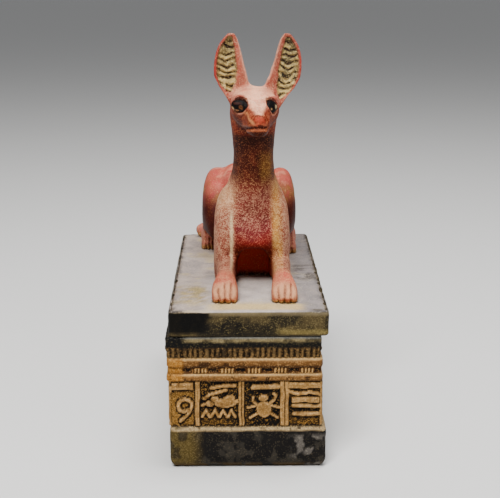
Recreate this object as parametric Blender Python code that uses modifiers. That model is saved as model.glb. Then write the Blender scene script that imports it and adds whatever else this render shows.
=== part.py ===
"""A small carved stone chest whose loose lid carries a recumbent jackal.

Metres, +Z up. -Y is the front, where the jackal looks. The origin is the centre of the underside.
Two solids: the hollow chest, and the lid slab with the jackal carved on it.
"""
import math

import bmesh
import bpy
import numpy as np
from mathutils import Matrix, Vector

# Driving sizes of the chest
CHEST_WIDTH = 0.0722
CHEST_LENGTH = 0.155
WALL = 0.008
FLOOR = 0.009
PLAN_CORNER = 0.0024

# Heights of the chest's bands, from the ground up
BASE_HEIGHT = 0.0196
FIELD_HEIGHT = 0.0229
LOWER_LEDGE_HEIGHT = 0.0036
FRIEZE_HEIGHT = 0.0033
UPPER_LEDGE_HEIGHT = 0.0040
FLUTE_HEIGHT = 0.0054
RIM_HEIGHT = 0.0049

# How far right of the middle each band was cut: the upper ones stand further left
BASE_DRIFT = 0.0001
FIELD_DRIFT = -0.0010
FRIEZE_DRIFT = -0.0014
RIM_DRIFT = -0.0019

# How far each band's face lies inside the base block's face
FIELD_INSET = 0.0020
LEDGE_INSET = 0.0004
FRIEZE_INSET = 0.0010
FLUTE_INSET = 0.0019
RIM_INSET = 0.0006
BASE_ROUNDING = 0.0058
EDGE_CHAMFER = 0.0011

# Relief on the walls
RELIEF = 0.0011
ROOT = 0.0006
FLUTE_PITCH = 0.0052
FLUTE_WIDTH = 0.0026
PANEL_PITCH = 0.0199
FIRST_PANEL = 0.0112
DIVIDER_WIDTH = 0.0026
TOP_BAND = 0.0034
FIELD_LIP = 0.0016
FRIEZE_SLOT = 0.0062
FRIEZE_SLOT_DEPTH = 0.0009
FRIEZE_PITCH = 0.0132
STROKE = 0.0016
HAND_CUT = 0.00003

# The lid slab and how it sits on the chest
LID_GAP = 0.0004
SLAB_OVERHANG = 0.0003
SLAB_THICKNESS = 0.0118
SLAB_ROUNDING = 0.0015
TONGUE_DEPTH = 0.0040
TONGUE_CLEARANCE = 0.0012
LID_SHIFT = 0.0004

# The jackal: its proportions below are given in 120ths of its height over the slab
JACKAL_HEIGHT = 0.1200
JACKAL_OFFSET = 0.0030
SUNK = 1.8
SKIN_VOXEL = 0.00078
SKIN_FACES = 4200

CHEST_HEIGHT = (BASE_HEIGHT + FIELD_HEIGHT + LOWER_LEDGE_HEIGHT + FRIEZE_HEIGHT
                + UPPER_LEDGE_HEIGHT + FLUTE_HEIGHT + RIM_HEIGHT)
FIELD_TOP = BASE_HEIGHT + FIELD_HEIGHT
FRIEZE_BOTTOM = FIELD_TOP + LOWER_LEDGE_HEIGHT
UPPER_LEDGE_BOTTOM = FRIEZE_BOTTOM + FRIEZE_HEIGHT
FLUTE_BOTTOM = UPPER_LEDGE_BOTTOM + UPPER_LEDGE_HEIGHT
RIM_BOTTOM = FLUTE_BOTTOM + FLUTE_HEIGHT
SLAB_WIDTH = CHEST_WIDTH + 2 * SLAB_OVERHANG
SLAB_LENGTH = CHEST_LENGTH + 2 * SLAB_OVERHANG
SLAB_BOTTOM = CHEST_HEIGHT + LID_GAP
SLAB_TOP = SLAB_BOTTOM + SLAB_THICKNESS
UNIT = JACKAL_HEIGHT / 120


def clear_scene():
    """Remove whatever the new file holds."""
    for old in list(bpy.data.objects):
        bpy.data.objects.remove(old, do_unlink=True)


def collection(name):
    """A new collection linked to the scene."""
    made = bpy.data.collections.new(name)
    bpy.context.scene.collection.children.link(made)
    return made


def material(name, colour, roughness):
    """A Principled material in the stone's paint colour."""
    made = bpy.data.materials.new(name)
    made.use_nodes = True
    shader = made.node_tree.nodes["Principled BSDF"]
    shader.inputs["Base Color"].default_value = (*colour, 1)
    shader.inputs["Roughness"].default_value = roughness
    shader.inputs["Metallic"].default_value = 0
    made.diffuse_color = (*colour, 1)
    return made


def new_object(name, bm, group):
    """Turn a bmesh into an object of the group, its faces pointing out."""
    bmesh.ops.recalc_face_normals(bm, faces=bm.faces)
    mesh = bpy.data.meshes.new(name)
    bm.to_mesh(mesh)
    bm.free()
    made = bpy.data.objects.new(name, mesh)
    group.objects.link(made)
    return made


def boolean(target, tool, operation, self_crossing=False):
    """Cut or join another object, which is kept as a hidden guide."""
    step = target.modifiers.new(tool.name, "BOOLEAN")
    step.operation = operation
    step.object = tool
    step.use_self = self_crossing
    tool.hide_render = True
    tool.display_type = "WIRE"
    return step


def rounded_rectangle(half_x, half_y, radius, steps=2):
    """Corner points of a rectangle with round corners, counter-clockwise."""
    points = []
    for quarter, (sx, sy) in enumerate([(1, 1), (-1, 1), (-1, -1), (1, -1)]):
        for step in range(steps + 1):
            angle = math.radians(90 * (quarter + step / steps))
            points.append((sx * (half_x - radius) + radius * math.cos(angle),
                           sy * (half_y - radius) + radius * math.sin(angle)))
    return points


def drift(z):
    """How far right of the middle the chest's band at this height stands."""
    if z < BASE_HEIGHT + EDGE_CHAMFER / 2:
        return BASE_DRIFT
    if z < FIELD_TOP - EDGE_CHAMFER / 2:
        return FIELD_DRIFT
    if z < FLUTE_BOTTOM - EDGE_CHAMFER / 2:
        return FRIEZE_DRIFT
    return RIM_DRIFT


def stacked_rings(rings):
    """A closed skin over level rings that all have as many points."""
    bm = bmesh.new()
    loops = [[bm.verts.new((x, y, z)) for x, y in ring] for ring, z in rings]
    count = len(loops[0])
    for low, high in zip(loops, loops[1:]):
        for i in range(count):
            j = (i + 1) % count
            bm.faces.new((low[i], low[j], high[j], high[i]))
    bm.faces.new(loops[0])
    bm.faces.new(loops[-1])
    return bm


def block(half_x, half_y, bottom, top, radius, steps=2):
    """A plain block with round upright corners."""
    ring = rounded_rectangle(half_x, half_y, radius, steps)
    return stacked_rings([(ring, bottom), (ring, top)])


def chest_profile():
    """Inset and height of the chest's outer wall, from the ground up."""
    points = []
    for step in range(4):
        angle = math.radians(90 * step / 3)
        inset = BASE_ROUNDING * (1 - math.sin(angle)) * 0.8
        points.append((inset, BASE_ROUNDING * (1 - math.cos(angle))))
    points += [
        (0, BASE_HEIGHT - EDGE_CHAMFER),
        (EDGE_CHAMFER, BASE_HEIGHT),
        (FIELD_INSET, BASE_HEIGHT + EDGE_CHAMFER),
        (FIELD_INSET, FIELD_TOP),
        (LEDGE_INSET, FIELD_TOP),
        (LEDGE_INSET, FRIEZE_BOTTOM - EDGE_CHAMFER),
        (FRIEZE_INSET, FRIEZE_BOTTOM),
        (FRIEZE_INSET, UPPER_LEDGE_BOTTOM),
        (LEDGE_INSET, UPPER_LEDGE_BOTTOM),
        (LEDGE_INSET, FLUTE_BOTTOM - EDGE_CHAMFER),
        (FLUTE_INSET, FLUTE_BOTTOM),
        (FLUTE_INSET, (FLUTE_BOTTOM + RIM_BOTTOM) / 2),
        (RIM_INSET, RIM_BOTTOM),
        (RIM_INSET, CHEST_HEIGHT),
    ]
    return points


class Face:
    """One wall of the chest, with u to the right and z up as seen from outside."""

    def __init__(self, turn):
        self.turn = Matrix.Rotation(math.radians(90 * turn), 3, "Z")
        along_y = turn % 2 == 1
        self.width = CHEST_LENGTH if along_y else CHEST_WIDTH
        self.reach = (CHEST_WIDTH if along_y else CHEST_LENGTH) / 2

    def place(self, u, z, inset, band_z):
        """The point at u and z, this far inside the base block's face, of the band at a height."""
        return self.turn @ Vector((u, inset - self.reach, z)) + Vector((drift(band_z), 0, 0))

    def normal(self):
        """Outward direction of the wall."""
        return self.turn @ Vector((0, -1, 0))


def prism(bm, face, outline, inset, height):
    """Raise an outline of (u, z) points off the wall's ground at the inset."""
    middle = sum(z for u, z in outline) / len(outline)
    verts = [bm.verts.new(face.place(u, z, inset + ROOT, middle)) for u, z in outline]
    ground = bm.faces.new(verts)
    raised = bmesh.ops.extrude_face_region(bm, geom=[ground])["geom"]
    moved = [item for item in raised if isinstance(item, bmesh.types.BMVert)]
    bmesh.ops.translate(bm, verts=moved, vec=face.normal() * (ROOT + height))


def bar(start, end, width):
    """Outline of a straight stroke between two (u, z) points."""
    du, dz = end[0] - start[0], end[1] - start[1]
    length = math.hypot(du, dz)
    nu, nz = -dz / length * width / 2, du / length * width / 2
    return [(start[0] - nu, start[1] - nz), (end[0] - nu, end[1] - nz),
            (end[0] + nu, end[1] + nz), (start[0] + nu, start[1] + nz)]


def level_bar(u, z, half, width):
    """Outline of a level stroke that reaches this far to either side of u."""
    return bar((u - half, z), (u + half, z), width)


def oval(centre, half_u, half_z, sides=10):
    """Outline of an oval."""
    return [(centre[0] + half_u * math.cos(math.tau * k / sides),
             centre[1] + half_z * math.sin(math.tau * k / sides)) for k in range(sides)]


def hook_figure(u, z, width, height):
    """A looped hook: a ring of short strokes with a tail that curls down."""
    strokes = []
    radius = min(width, height) * 0.29
    centre = (u + width * 0.08, z + height * 0.20)
    turns = [math.radians(-100 + 52 * k) for k in range(6)]
    ring = [(centre[0] + radius * math.cos(a), centre[1] + radius * math.sin(a)) for a in turns]
    for a, b in zip(ring, ring[1:]):
        strokes.append(bar(a, b, STROKE))
    strokes.append(bar(ring[0], (u - width * 0.12, z - height * 0.42), STROKE))
    return strokes


def beast_figure(u, z, width, height):
    """A lying beast under a slanting wing, over a row of peaks."""
    shapes = [oval((u + width * 0.10, z + height * 0.10), width * 0.30, height * 0.13),
              oval((u - width * 0.34, z + height * 0.02), width * 0.12, height * 0.10),
              bar((u - width * 0.40, z + height * 0.24), (u + width * 0.24, z + height * 0.46), STROKE)]
    peaks = 4
    step = width * 0.9 / peaks
    for k in range(peaks):
        left = u - width * 0.45 + k * step
        shapes.append([(left, z - height * 0.36), (left + step * 0.94, z - height * 0.36),
                       (left + step * 0.47, z - height * 0.16)])
    return shapes


def beetle_figure(u, z, width, height):
    """A beetle seen from above: an oval body, a head and three pairs of legs."""
    body_z = z - height * 0.06
    shapes = [oval((u, body_z), width * 0.20, height * 0.27, 12),
              level_bar(u, z + height * 0.42, width * 0.40, STROKE)]
    for side in (-1, 1):
        for root_z, tip_z in ((0.16, 0.28), (-0.04, -0.02), (-0.20, -0.34)):
            shapes.append(bar((u + side * width * 0.18, z + height * (root_z - 0.06)),
                              (u + side * width * 0.38, z + height * (tip_z - 0.02)), STROKE * 0.9))
    return shapes


def bars_figure(u, z, width, height):
    """A waved stroke over a long box of strokes."""
    shapes = []
    crests = 4
    step = width * 0.8 / crests
    for k in range(crests):
        rise = height * 0.05 * (-1) ** k
        left = u - width * 0.40 + k * step
        top = z + height * 0.28
        shapes.append(bar((left, top - rise), (left + step, top + rise), STROKE))
    for level in (0.02, -0.34):
        shapes.append(level_bar(u, z + height * level, width * 0.40, STROKE))
    for side in (-1, 1):
        shapes.append(bar((u + side * width * 0.32, z + height * 0.04),
                          (u + side * width * 0.32, z - height * 0.32), STROKE))
    return shapes


def gate_figure(u, z, width, height):
    """A plain false door: two uprights under a lintel, round one narrow slot."""
    shapes = [level_bar(u, z + height * 0.34, width * 0.30, STROKE * 1.4)]
    for side in (-1, 1):
        shapes.append(bar((u + side * width * 0.20, z - height * 0.40),
                          (u + side * width * 0.20, z + height * 0.22), STROKE * 1.4))
    return shapes


def disc_figure(u, z, width, height):
    """A disc over two level strokes."""
    shapes = [oval((u, z + height * 0.16), width * 0.22, width * 0.22)]
    for level in (-0.22, -0.38):
        shapes.append(level_bar(u, z + height * level, width * 0.34, STROKE))
    return shapes


FRONT_FIGURES = (hook_figure, beast_figure, beetle_figure, bars_figure)
PLAIN_FIGURES = (gate_figure, disc_figure)


def panel_edges(half):
    """Where a wall's dividers stand: a narrow first panel, then panels of the full pitch."""
    edges = [-half]
    u = FIRST_PANEL - half
    while u < half - PANEL_PITCH / 2:
        edges.append(u)
        u += PANEL_PITCH
    return edges + [half]


def wall_relief(bm, face, figures):
    """Flutes, dividers, bands and panel figures of one wall."""
    half = face.width / 2 - FIELD_INSET - PLAN_CORNER / 2
    low, high = BASE_HEIGHT + FIELD_LIP, FIELD_TOP + ROOT
    edges = panel_edges(half - DIVIDER_WIDTH / 2)
    band = FIELD_TOP - TOP_BAND
    shapes = [[(-half, band), (half, band), (half, high), (-half, high)]]
    for u in edges:
        shapes.append(bar((u, low), (u, band + ROOT), DIVIDER_WIDTH))
    for k, (left, right) in enumerate(zip(edges, edges[1:])):
        room = right - left - DIVIDER_WIDTH
        figure = figures[k % len(figures)]
        shapes += figure((left + right) / 2, (low + band) / 2, room, band - low)
    for k, outline in enumerate(shapes):
        prism(bm, face, outline, FIELD_INSET - HAND_CUT * (k % 7), RELIEF)
    flutes = max(2, round((face.width - 2 * FLUTE_PITCH) / FLUTE_PITCH))
    for k in range(flutes + 1):
        u = (k / flutes - 0.5) * (face.width - 2 * FLUTE_PITCH)
        prism(bm, face, bar((u, FLUTE_BOTTOM - ROOT), (u, RIM_BOTTOM), FLUTE_WIDTH), FLUTE_INSET, RELIEF)


def frieze_slots(bm, face):
    """Oblong sinkings along the frieze, as closed cutters."""
    count = max(1, round((face.width - FRIEZE_PITCH) / FRIEZE_PITCH))
    middle = (FRIEZE_BOTTOM + UPPER_LEDGE_BOTTOM) / 2
    for k in range(count):
        u = (k - (count - 1) / 2) * FRIEZE_PITCH
        outline = bar((u - FRIEZE_SLOT / 2, middle), (u + FRIEZE_SLOT / 2, middle), FRIEZE_HEIGHT * 0.62)
        prism(bm, face, outline, FRIEZE_INSET + FRIEZE_SLOT_DEPTH - ROOT, FRIEZE_SLOT_DEPTH * 2)


def make_chest(group, cutters, paint):
    """The hollow box with its bands and reliefs."""
    rings = []
    for inset, z in chest_profile():
        ring = rounded_rectangle(CHEST_WIDTH / 2 - inset, CHEST_LENGTH / 2 - inset, PLAN_CORNER)
        rings.append(([(x + drift(z), y) for x, y in ring], z))
    chest = new_object("chest", stacked_rings(rings), group)
    chest.data.materials.append(paint)

    hollow = block(CHEST_WIDTH / 2 - WALL, CHEST_LENGTH / 2 - WALL,
                   FLOOR, CHEST_HEIGHT + WALL, PLAN_CORNER)
    hollow_object = new_object("hollow", hollow, cutters)
    hollow_object.location.x = FIELD_DRIFT
    boolean(chest, hollow_object, "DIFFERENCE")

    relief = bmesh.new()
    slots = bmesh.new()
    for turn in range(4):
        wall_relief(relief, Face(turn), PLAIN_FIGURES if turn else FRONT_FIGURES)
        frieze_slots(slots, Face(turn))
    boolean(chest, new_object("frieze_slots", slots, cutters), "DIFFERENCE")
    boolean(chest, new_object("relief", relief, cutters), "UNION", self_crossing=True)
    return chest


def smooth_path(stations, per_span):
    """Stations interpolated by a Catmull-Rom curve, so that rings swell evenly."""
    rows = np.array(stations, dtype=float)
    padded = np.vstack([2 * rows[0] - rows[1], rows, 2 * rows[-1] - rows[-2]])
    out = []
    for k in range(len(rows) - 1):
        a, b, c, d = padded[k:k + 4]
        for t in np.arange(per_span) / per_span:
            out.append(0.5 * (2 * b + (c - a) * t + (2 * a - 5 * b + 4 * c - d) * t ** 2
                              + (3 * b - a - 3 * c + d) * t ** 3))
    out.append(rows[-1])
    return np.array(out)


def limb(bm, stations, across=(1, 0, 0), place=None, sides=20, per_span=4, squareness=2.0):
    """A closed skin through oval rings along a path.

    A station is x, y, z, half the width across, half the depth. Each ring stands square to the
    path, with its width along the across direction. Squareness 2 is an oval, more is boxier.
    """
    rows = smooth_path(stations, per_span)
    centres = rows[:, :3]
    tangents = np.gradient(centres, axis=0)
    tangents /= np.linalg.norm(tangents, axis=1)[:, None]
    wide = np.array(across, dtype=float) - tangents * (tangents @ np.array(across, dtype=float))[:, None]
    wide /= np.linalg.norm(wide, axis=1)[:, None]
    deep = np.cross(tangents, wide)
    angle = math.tau * np.arange(sides) / sides
    c, s = np.cos(angle), np.sin(angle)
    cu = np.sign(c) * np.abs(c) ** (2 / squareness)
    su = np.sign(s) * np.abs(s) ** (2 / squareness)
    half = np.maximum(rows[:, 3:5], 0.2)
    points = (centres[:, None, :] + wide[:, None, :] * (half[:, 0:1] * cu)[:, :, None]
              + deep[:, None, :] * (half[:, 1:2] * su)[:, :, None])
    add_skin(bm, points, place)


def add_skin(bm, points, place=None):
    """Join a stack of rings, given in the jackal's units, into a closed skin."""
    move = (lambda p: p) if place is None else place
    loops = [[bm.verts.new(Vector(move(np.array(p))) * UNIT) for p in ring] for ring in points]
    count = len(loops[0])
    for low, high in zip(loops, loops[1:]):
        for i in range(count):
            j = (i + 1) % count
            bm.faces.new((low[i], low[j], high[j], high[i]))
    bm.faces.new(loops[0])
    bm.faces.new(loops[-1])


def lying(x, y, top, half):
    """A station of a limb that lies on the slab and runs a little way into it."""
    return (x, y, (top - SUNK) / 2, half, (top + SUNK) / 2)


def mirrored(stations, side):
    """The same stations on the left, -1, or the right, 1."""
    return [(side * row[0], *row[1:]) for row in stations]


# Stations along the jackal's parts: x, y, z, half the width, half the depth
TRUNK = [(0, -33, 28, 4, 5), (0, -31.4, 27, 11, 12), (0, -26, 26, 15.4, 18), (0, -17, 22.5, 17, 23.5),
         (0, -6, 21.5, 17.2, 23.6), (0, 8, 20, 16.2, 22.5), (0, 22, 19.5, 15.2, 22),
         (0, 36, 21, 15.0, 24), (0, 48, 21.5, 14.6, 24.3), (0, 58, 18.5, 13.5, 21),
         (0, 64, 14.5, 10.5, 16.5), (0, 67, 13, 5, 8)]
NECK = [(0, -11, 30, 14.5, 17), (0, -13.5, 39, 14.2, 17.2), (0, -17.2, 46, 12.6, 15),
        (0, -20.4, 51, 10.9, 13.2), (0, -23.5, 57, 10.0, 11.5), (0, -25.2, 64, 9.7, 11.2),
        (0, -26.6, 71, 10.0, 11.4),
        (0, -27.6, 78, 10.9, 11.6), (0, -28, 85, 11.1, 10.2), (0, -28, 89, 8.5, 7.5)]
HEAD = [(0, -13.5, 86.5, 2.5, 2.5), (0, -16, 87.1, 7.6, 6.0), (0, -22, 87.2, 10.2, 8.0),
        (0, -30, 86.8, 11.3, 8.4), (0, -37, 86.1, 11.2, 8.6), (0, -41, 85.0, 10.5, 8.6),
        (0, -44.5, 83.8, 8.7, 8.2), (0, -47.5, 82.6, 6.8, 7.5), (0, -52, 81.4, 5.6, 6.5),
        (0, -57, 80.8, 4.8, 5.3), (0, -59.6, 80.9, 3.4, 3.8), (0, -60.6, 81.0, 1.2, 1.5)]
UPPER_ARM = [(7.0, -10, 43.6, 4.0, 5.8), (9.7, -13.5, 39, 5.8, 10.2), (11.8, -17, 33, 5.6, 12.4),
             (12.8, -19, 26, 5.1, 12), (13.2, -19.5, 16, 4.9, 11.4), (13.3, -18.5, 7, 4.7, 10.5),
             (13.3, -18, 0.5, 4.4, 9.5)]
FORELEG = [lying(13.4, -2, 9, 2.4), lying(13.4, -5, 13.5, 4.4), lying(13.4, -14, 15, 4.9),
           lying(13.3, -25, 14.6, 4.9), lying(13.3, -34, 12.9, 4.6), lying(13.4, -42, 11.6, 4.6),
           lying(13.6, -49, 10.4, 5.3), lying(13.8, -55, 9.2, 6.0), lying(13.8, -60, 7.0, 6.1),
           lying(13.8, -63.3, 4.6, 5.2), lying(13.8, -64.8, 2.6, 3.4)]
THIGH = [(17.0, 20.5, 13.5, 1.8, 2.6), (17.3, 22.5, 14.5, 4.4, 6.4), (17.5, 27, 18.0, 6.8, 11.0),
         (17.5, 34, 21.5, 7.8, 17.2), (17.4, 42, 22.0, 8.1, 22.4), (17.2, 50, 20.6, 8.1, 22.4),
         (16.6, 57, 16.8, 7.4, 19.4), (15.6, 62.5, 12.4, 5.8, 15.0), (14.8, 66, 9, 2.4, 6)]
SHANK = [lying(21.2, 39, 9, 2.4), lying(21.4, 42, 13.4, 4.2), lying(21.8, 48, 13.4, 4.5),
         lying(22.2, 56, 11.4, 4.2), lying(22.4, 65, 9.8, 3.6), lying(22.4, 68.5, 6.8, 1.5)]
HIND_FOOT = [lying(21.4, 62, 5.8, 1.6), lying(21.4, 59, 9.0, 3.4), lying(21.4, 50, 10.6, 4.2),
             lying(21.4, 45, 10.4, 4.5), lying(21.4, 41, 8.2, 4.3), lying(21.4, 38.6, 5.0, 3.0)]
RUMP = [(-2.2, 24, 34, 3, 3), (-2.2, 27, 35, 10.5, 8.4), (-2.2, 36, 36, 13.4, 11),
        (-2.2, 47, 36, 13.6, 11.4), (-2.2, 56, 33, 11.5, 9.6), (-2.2, 60.5, 29, 4, 4)]
TAIL = [(0, 61, 26, 2.6, 2.6), (0, 67, 23, 2.9, 2.9), (0, 71.0, 15, 2.8, 2.8), (-1, 72.2, 7, 2.8, 3.2),
        (-5, 72.6, 2.6, 2.7, 3.6), (-12, 72.5, 2.4, 2.8, 3.8), (-21, 72.0, 2.8, 3.0, 4.6),
        (-25, 71.2, 3.2, 3.0, 5.0), (-28, 70.6, 3.0, 2.2, 3.8), (-29.4, 70.2, 2.6, 0.9, 1.6)]

# Stations up an ear: x, y, z, half the width. Each side is then moved and widened from foot to tip
EAR = [(6.6, -27.4, 84.5, 4.3), (7.7, -27.4, 88.3, 5.6), (8.6, -27.4, 91.9, 7.1),
       (9.7, -27.3, 94.6, 8.0), (11.0, -27.1, 97.0, 7.9), (12.3, -26.8, 99.3, 7.7),
       (13.2, -26.6, 102.9, 7.3), (13.8, -26.3, 106.6, 6.6), (14.1, -26.0, 110.3, 5.7),
       (14.1, -25.7, 113.9, 4.6), (13.7, -25.5, 117.2, 3.0), (13.4, -25.5, 119.6, 1.3)]
EAR_SHIFT = {-1: (0.85, 0.4), 1: (2.2, -1.6)}
EAR_UP = {-1: -0.2, 1: 1.1}
EAR_WIDENING = {-1: (0.98, 0.13), 1: (0.88, 0.24)}
EAR_BACK = (0.30, 1.5)
EAR_SINKING = 0.34
EAR_FRONT = 1.7

# The eye bulges and brows
EYE = (6.9, -44.6, 88.0)
EYE_SHIFT = -1.3
EYE_SIZE = (3.6, 2.4, 2.7)
BROW = [(2.6, -46.0, 90.0, 0.7, 0.8), (5.2, -44.6, 91.6, 1.2, 1.2), (8.4, -41.4, 91.4, 1.2, 1.2),
        (10.4, -37.8, 89.6, 0.7, 0.8)]

# Where the parts are shifted and turned to, and the toes
HEAD_PIVOT = np.array((0.0, -27.0, 80.0))
HEAD_SHIFT = np.array((-0.5, 0.0, 0.0))
HEAD_YAW = math.radians(4.5)
HEAD_ROLL = math.radians(3.5)
LEFT_ARM_OUT = 1.5
RIGHT_FOOT = (-0.5, -10.0, 0.0)
HIND_DRIFT = 1.3
DRIFT_START = -25
DRIFT_LENGTH = 42
TOES = 4
TOE_SPREAD = 2.95
TOE_SETBACK = 0.45
FORE_TOE = (1.7, 5.0, 3.9)
HIND_TOE = (1.4, 3.8, 4.4)
CHEST_HOLLOW = (8.3, 12.5, 18.6)


def arm_place(point):
    """The left upper arm stands out a little further than the right one."""
    return point - np.array((LEFT_ARM_OUT if point[0] < 0 else 0, 0, 0))


def body_place(point):
    """Let the hindquarters lie a little to the left of the forequarters."""
    share = min(max((point[1] - DRIFT_START) / DRIFT_LENGTH, 0), 1)
    return point - np.array((HIND_DRIFT * share, 0, 0))


def foot_place(point):
    """The right hind foot lies further forward than the left one."""
    return body_place(point) + np.array(RIGHT_FOOT) * (point[0] > 0)


def head_place(point):
    """Turn a point of the head a little to the right and let it lean that way."""
    turned = Matrix.Rotation(HEAD_YAW, 3, "Z") @ Matrix.Rotation(HEAD_ROLL, 3, "Y")
    return np.array(turned @ Vector(point - HEAD_PIVOT)) + HEAD_PIVOT + HEAD_SHIFT


def ear_stations(side):
    """The ear's stations on one side, where each is moved and widened by its share of the height."""
    stations = []
    foot, tip = EAR[0][2], EAR[-1][2]
    for x, y, z, half in EAR:
        share = (z - foot) / (tip - foot)
        shift = EAR_SHIFT[side][0] + EAR_SHIFT[side][1] * share
        widening = EAR_WIDENING[side][0] + EAR_WIDENING[side][1] * share
        stations.append((side * x + shift, y, z + EAR_UP[side], half * widening))
    return stations


def ear_skin(bm, side):
    """One upright ear, hollowed in front: rings with a round back and a sunk face."""
    rows = smooth_path(ear_stations(side), 4)
    across = np.linspace(1, -1, 9)
    rings = []
    for x, y, z, half in rows:
        back = EAR_BACK[0] * half + EAR_BACK[1]
        sunk = EAR_SINKING * half
        bow = np.sqrt(np.clip(1 - across ** 2, 0, 1))
        rear = [(x + half * a, y + back * b - 0.6, z) for a, b in zip(across, bow)]
        face = y - EAR_FRONT
        front = [(x + half * a * 0.94, face + sunk * (1 - a ** 2), z) for a in across[::-1]]
        rings.append(rear + front)
    add_skin(bm, np.array(rings), head_place)


def ellipsoid(bm, centre, half, place=None):
    """An ellipsoid at a place of the jackal's own frame."""
    made = bmesh.ops.create_uvsphere(bm, u_segments=16, v_segments=10, radius=1)
    for vert in made["verts"]:
        point = np.array(vert.co) * np.array(half) + np.array(centre)
        point = point if place is None else place(point)
        vert.co = Vector(point) * UNIT


def paw_toes(bm, centre_x, tip_y, half, spread):
    """A row of round toes across a paw's end, the middle ones foremost."""
    for k in range(TOES):
        place = k - (TOES - 1) / 2
        setback = TOE_SETBACK * place ** 2
        toe = (centre_x + place * spread, tip_y + half[1] + setback, half[2] - SUNK)
        ellipsoid(bm, toe, half, foot_place if tip_y > 0 else None)


def make_jackal(cutters):
    """The jackal as one closed skin, standing in its own frame on z = 0."""
    bm = bmesh.new()
    limb(bm, TRUNK, place=body_place, sides=28, squareness=2.4)
    limb(bm, NECK, sides=24)
    limb(bm, HEAD, place=head_place, sides=24, squareness=2.4)
    limb(bm, TAIL, across=(0, 1, 0), place=body_place, sides=12)
    limb(bm, RUMP, place=body_place, squareness=2.6)
    for side in (-1, 1):
        limb(bm, mirrored(UPPER_ARM, side), place=arm_place)
        limb(bm, mirrored(FORELEG, side), squareness=2.3)
        limb(bm, mirrored(THIGH, side), place=body_place, squareness=2.5)
        limb(bm, mirrored(SHANK, side), place=body_place, sides=14)
        limb(bm, mirrored(HIND_FOOT, side), place=foot_place, sides=14)
        ear_skin(bm, side)
        ellipsoid(bm, (side * EYE[0] + EYE_SHIFT, EYE[1], EYE[2]), EYE_SIZE, head_place)
        limb(bm, mirrored(BROW, side), place=head_place, sides=10)
        paw_toes(bm, side * FORELEG[-1][0], FORELEG[-1][1] - 1.0, FORE_TOE, TOE_SPREAD)
        paw_toes(bm, side * HIND_FOOT[-1][0], HIND_FOOT[-1][1] - 0.8, HIND_TOE, TOE_SPREAD * 0.75)
    skin = new_object("jackal_skin", bm, cutters)
    skin.location = (LID_SHIFT + JACKAL_OFFSET, 0, SLAB_TOP)
    remesh = skin.modifiers.new("skin", "REMESH")
    remesh.mode = "VOXEL"
    remesh.voxel_size = SKIN_VOXEL
    relax = skin.modifiers.new("relax", "SMOOTH")
    relax.factor = 0.5
    relax.iterations = 5
    return skin


def make_hollow_under_breast(cutters):
    """The dark hollow between the forelegs, under the breast."""
    bm = bmesh.new()
    half_x, depth, height = CHEST_HOLLOW
    front = TRUNK[0][1] - 12
    back = TRUNK[0][1] + depth + 5
    stations = [(0, front, 0, half_x, height), (0, back - 5, 0, half_x, height),
                (0, back - 1, 0, half_x * 0.9, height * 0.88), (0, back, 0, half_x * 0.6, height * 0.6)]
    limb(bm, stations, sides=20, per_span=2, squareness=2.8)
    hollow = new_object("hollow_under_breast", bm, cutters)
    hollow.location = (LID_SHIFT + JACKAL_OFFSET, 0, SLAB_TOP)
    return hollow


def thinned(source, faces, cutters):
    """A copy of an object as it is evaluated, with fewer faces."""
    graph = bpy.context.evaluated_depsgraph_get()
    mesh = bpy.data.meshes.new_from_object(source.evaluated_get(graph))
    copy = bpy.data.objects.new(source.name + "_thinned", mesh)
    copy.matrix_world = source.matrix_world.copy()
    cutters.objects.link(copy)
    step = copy.modifiers.new("thin", "DECIMATE")
    step.ratio = min(1.0, faces / (2 * len(mesh.polygons)))
    return copy


def make_lid(group, cutters, paint):
    """The slab with its locating tongue below and the jackal above, as one solid."""
    r = SLAB_ROUNDING
    rings = []
    for step in range(3):
        angle = math.radians(90 * step / 2)
        rings.append((r * (1 - math.sin(angle)), SLAB_BOTTOM + r * (1 - math.cos(angle))))
    for step in range(3):
        angle = math.radians(90 * step / 2)
        rings.append((r * (1 - math.cos(angle)), SLAB_TOP - r * (1 - math.sin(angle))))
    skin = []
    for inset, z in rings:
        ring = rounded_rectangle(SLAB_WIDTH / 2 - inset, SLAB_LENGTH / 2 - inset, PLAN_CORNER)
        skin.append(([(x + LID_SHIFT, y) for x, y in ring], z))
    lid = new_object("jackal_lid", stacked_rings(skin), group)
    lid.data.materials.append(paint)

    margin = WALL + TONGUE_CLEARANCE
    tongue = block(CHEST_WIDTH / 2 - margin, CHEST_LENGTH / 2 - margin,
                   SLAB_BOTTOM - TONGUE_DEPTH, SLAB_BOTTOM + SLAB_THICKNESS / 2, PLAN_CORNER)
    tongue_object = new_object("tongue", tongue, cutters)
    tongue_object.location.x = FIELD_DRIFT
    boolean(lid, tongue_object, "UNION")

    skin = make_jackal(cutters)
    bpy.context.view_layer.update()
    boolean(skin, make_hollow_under_breast(cutters), "DIFFERENCE")
    bpy.context.view_layer.update()
    jackal = thinned(skin, SKIN_FACES, cutters)
    boolean(lid, jackal, "UNION")
    skin.hide_render = True
    skin.display_type = "WIRE"
    return lid


def main():
    """Build both pieces."""
    clear_scene()
    group = collection("canopic_chest")
    cutters = collection("cutters")
    make_chest(group, cutters, material("chest_stone", (0.30, 0.19, 0.09), 0.85))
    make_lid(group, cutters, material("lid_stone", (0.45, 0.25, 0.21), 0.8))
    bpy.context.view_layer.update()


main()
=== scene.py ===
# %% [markdown]
# # A painted stone chest with a jackal on its lid
#
# The real thing is a small chest carved from two blocks: a hollow box with bands of relief, and a
# loose slab on which a jackal lies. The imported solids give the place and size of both. Here each
# one gets a finely carved surface of its own, which stands exactly where its solid stands.

import math

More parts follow.
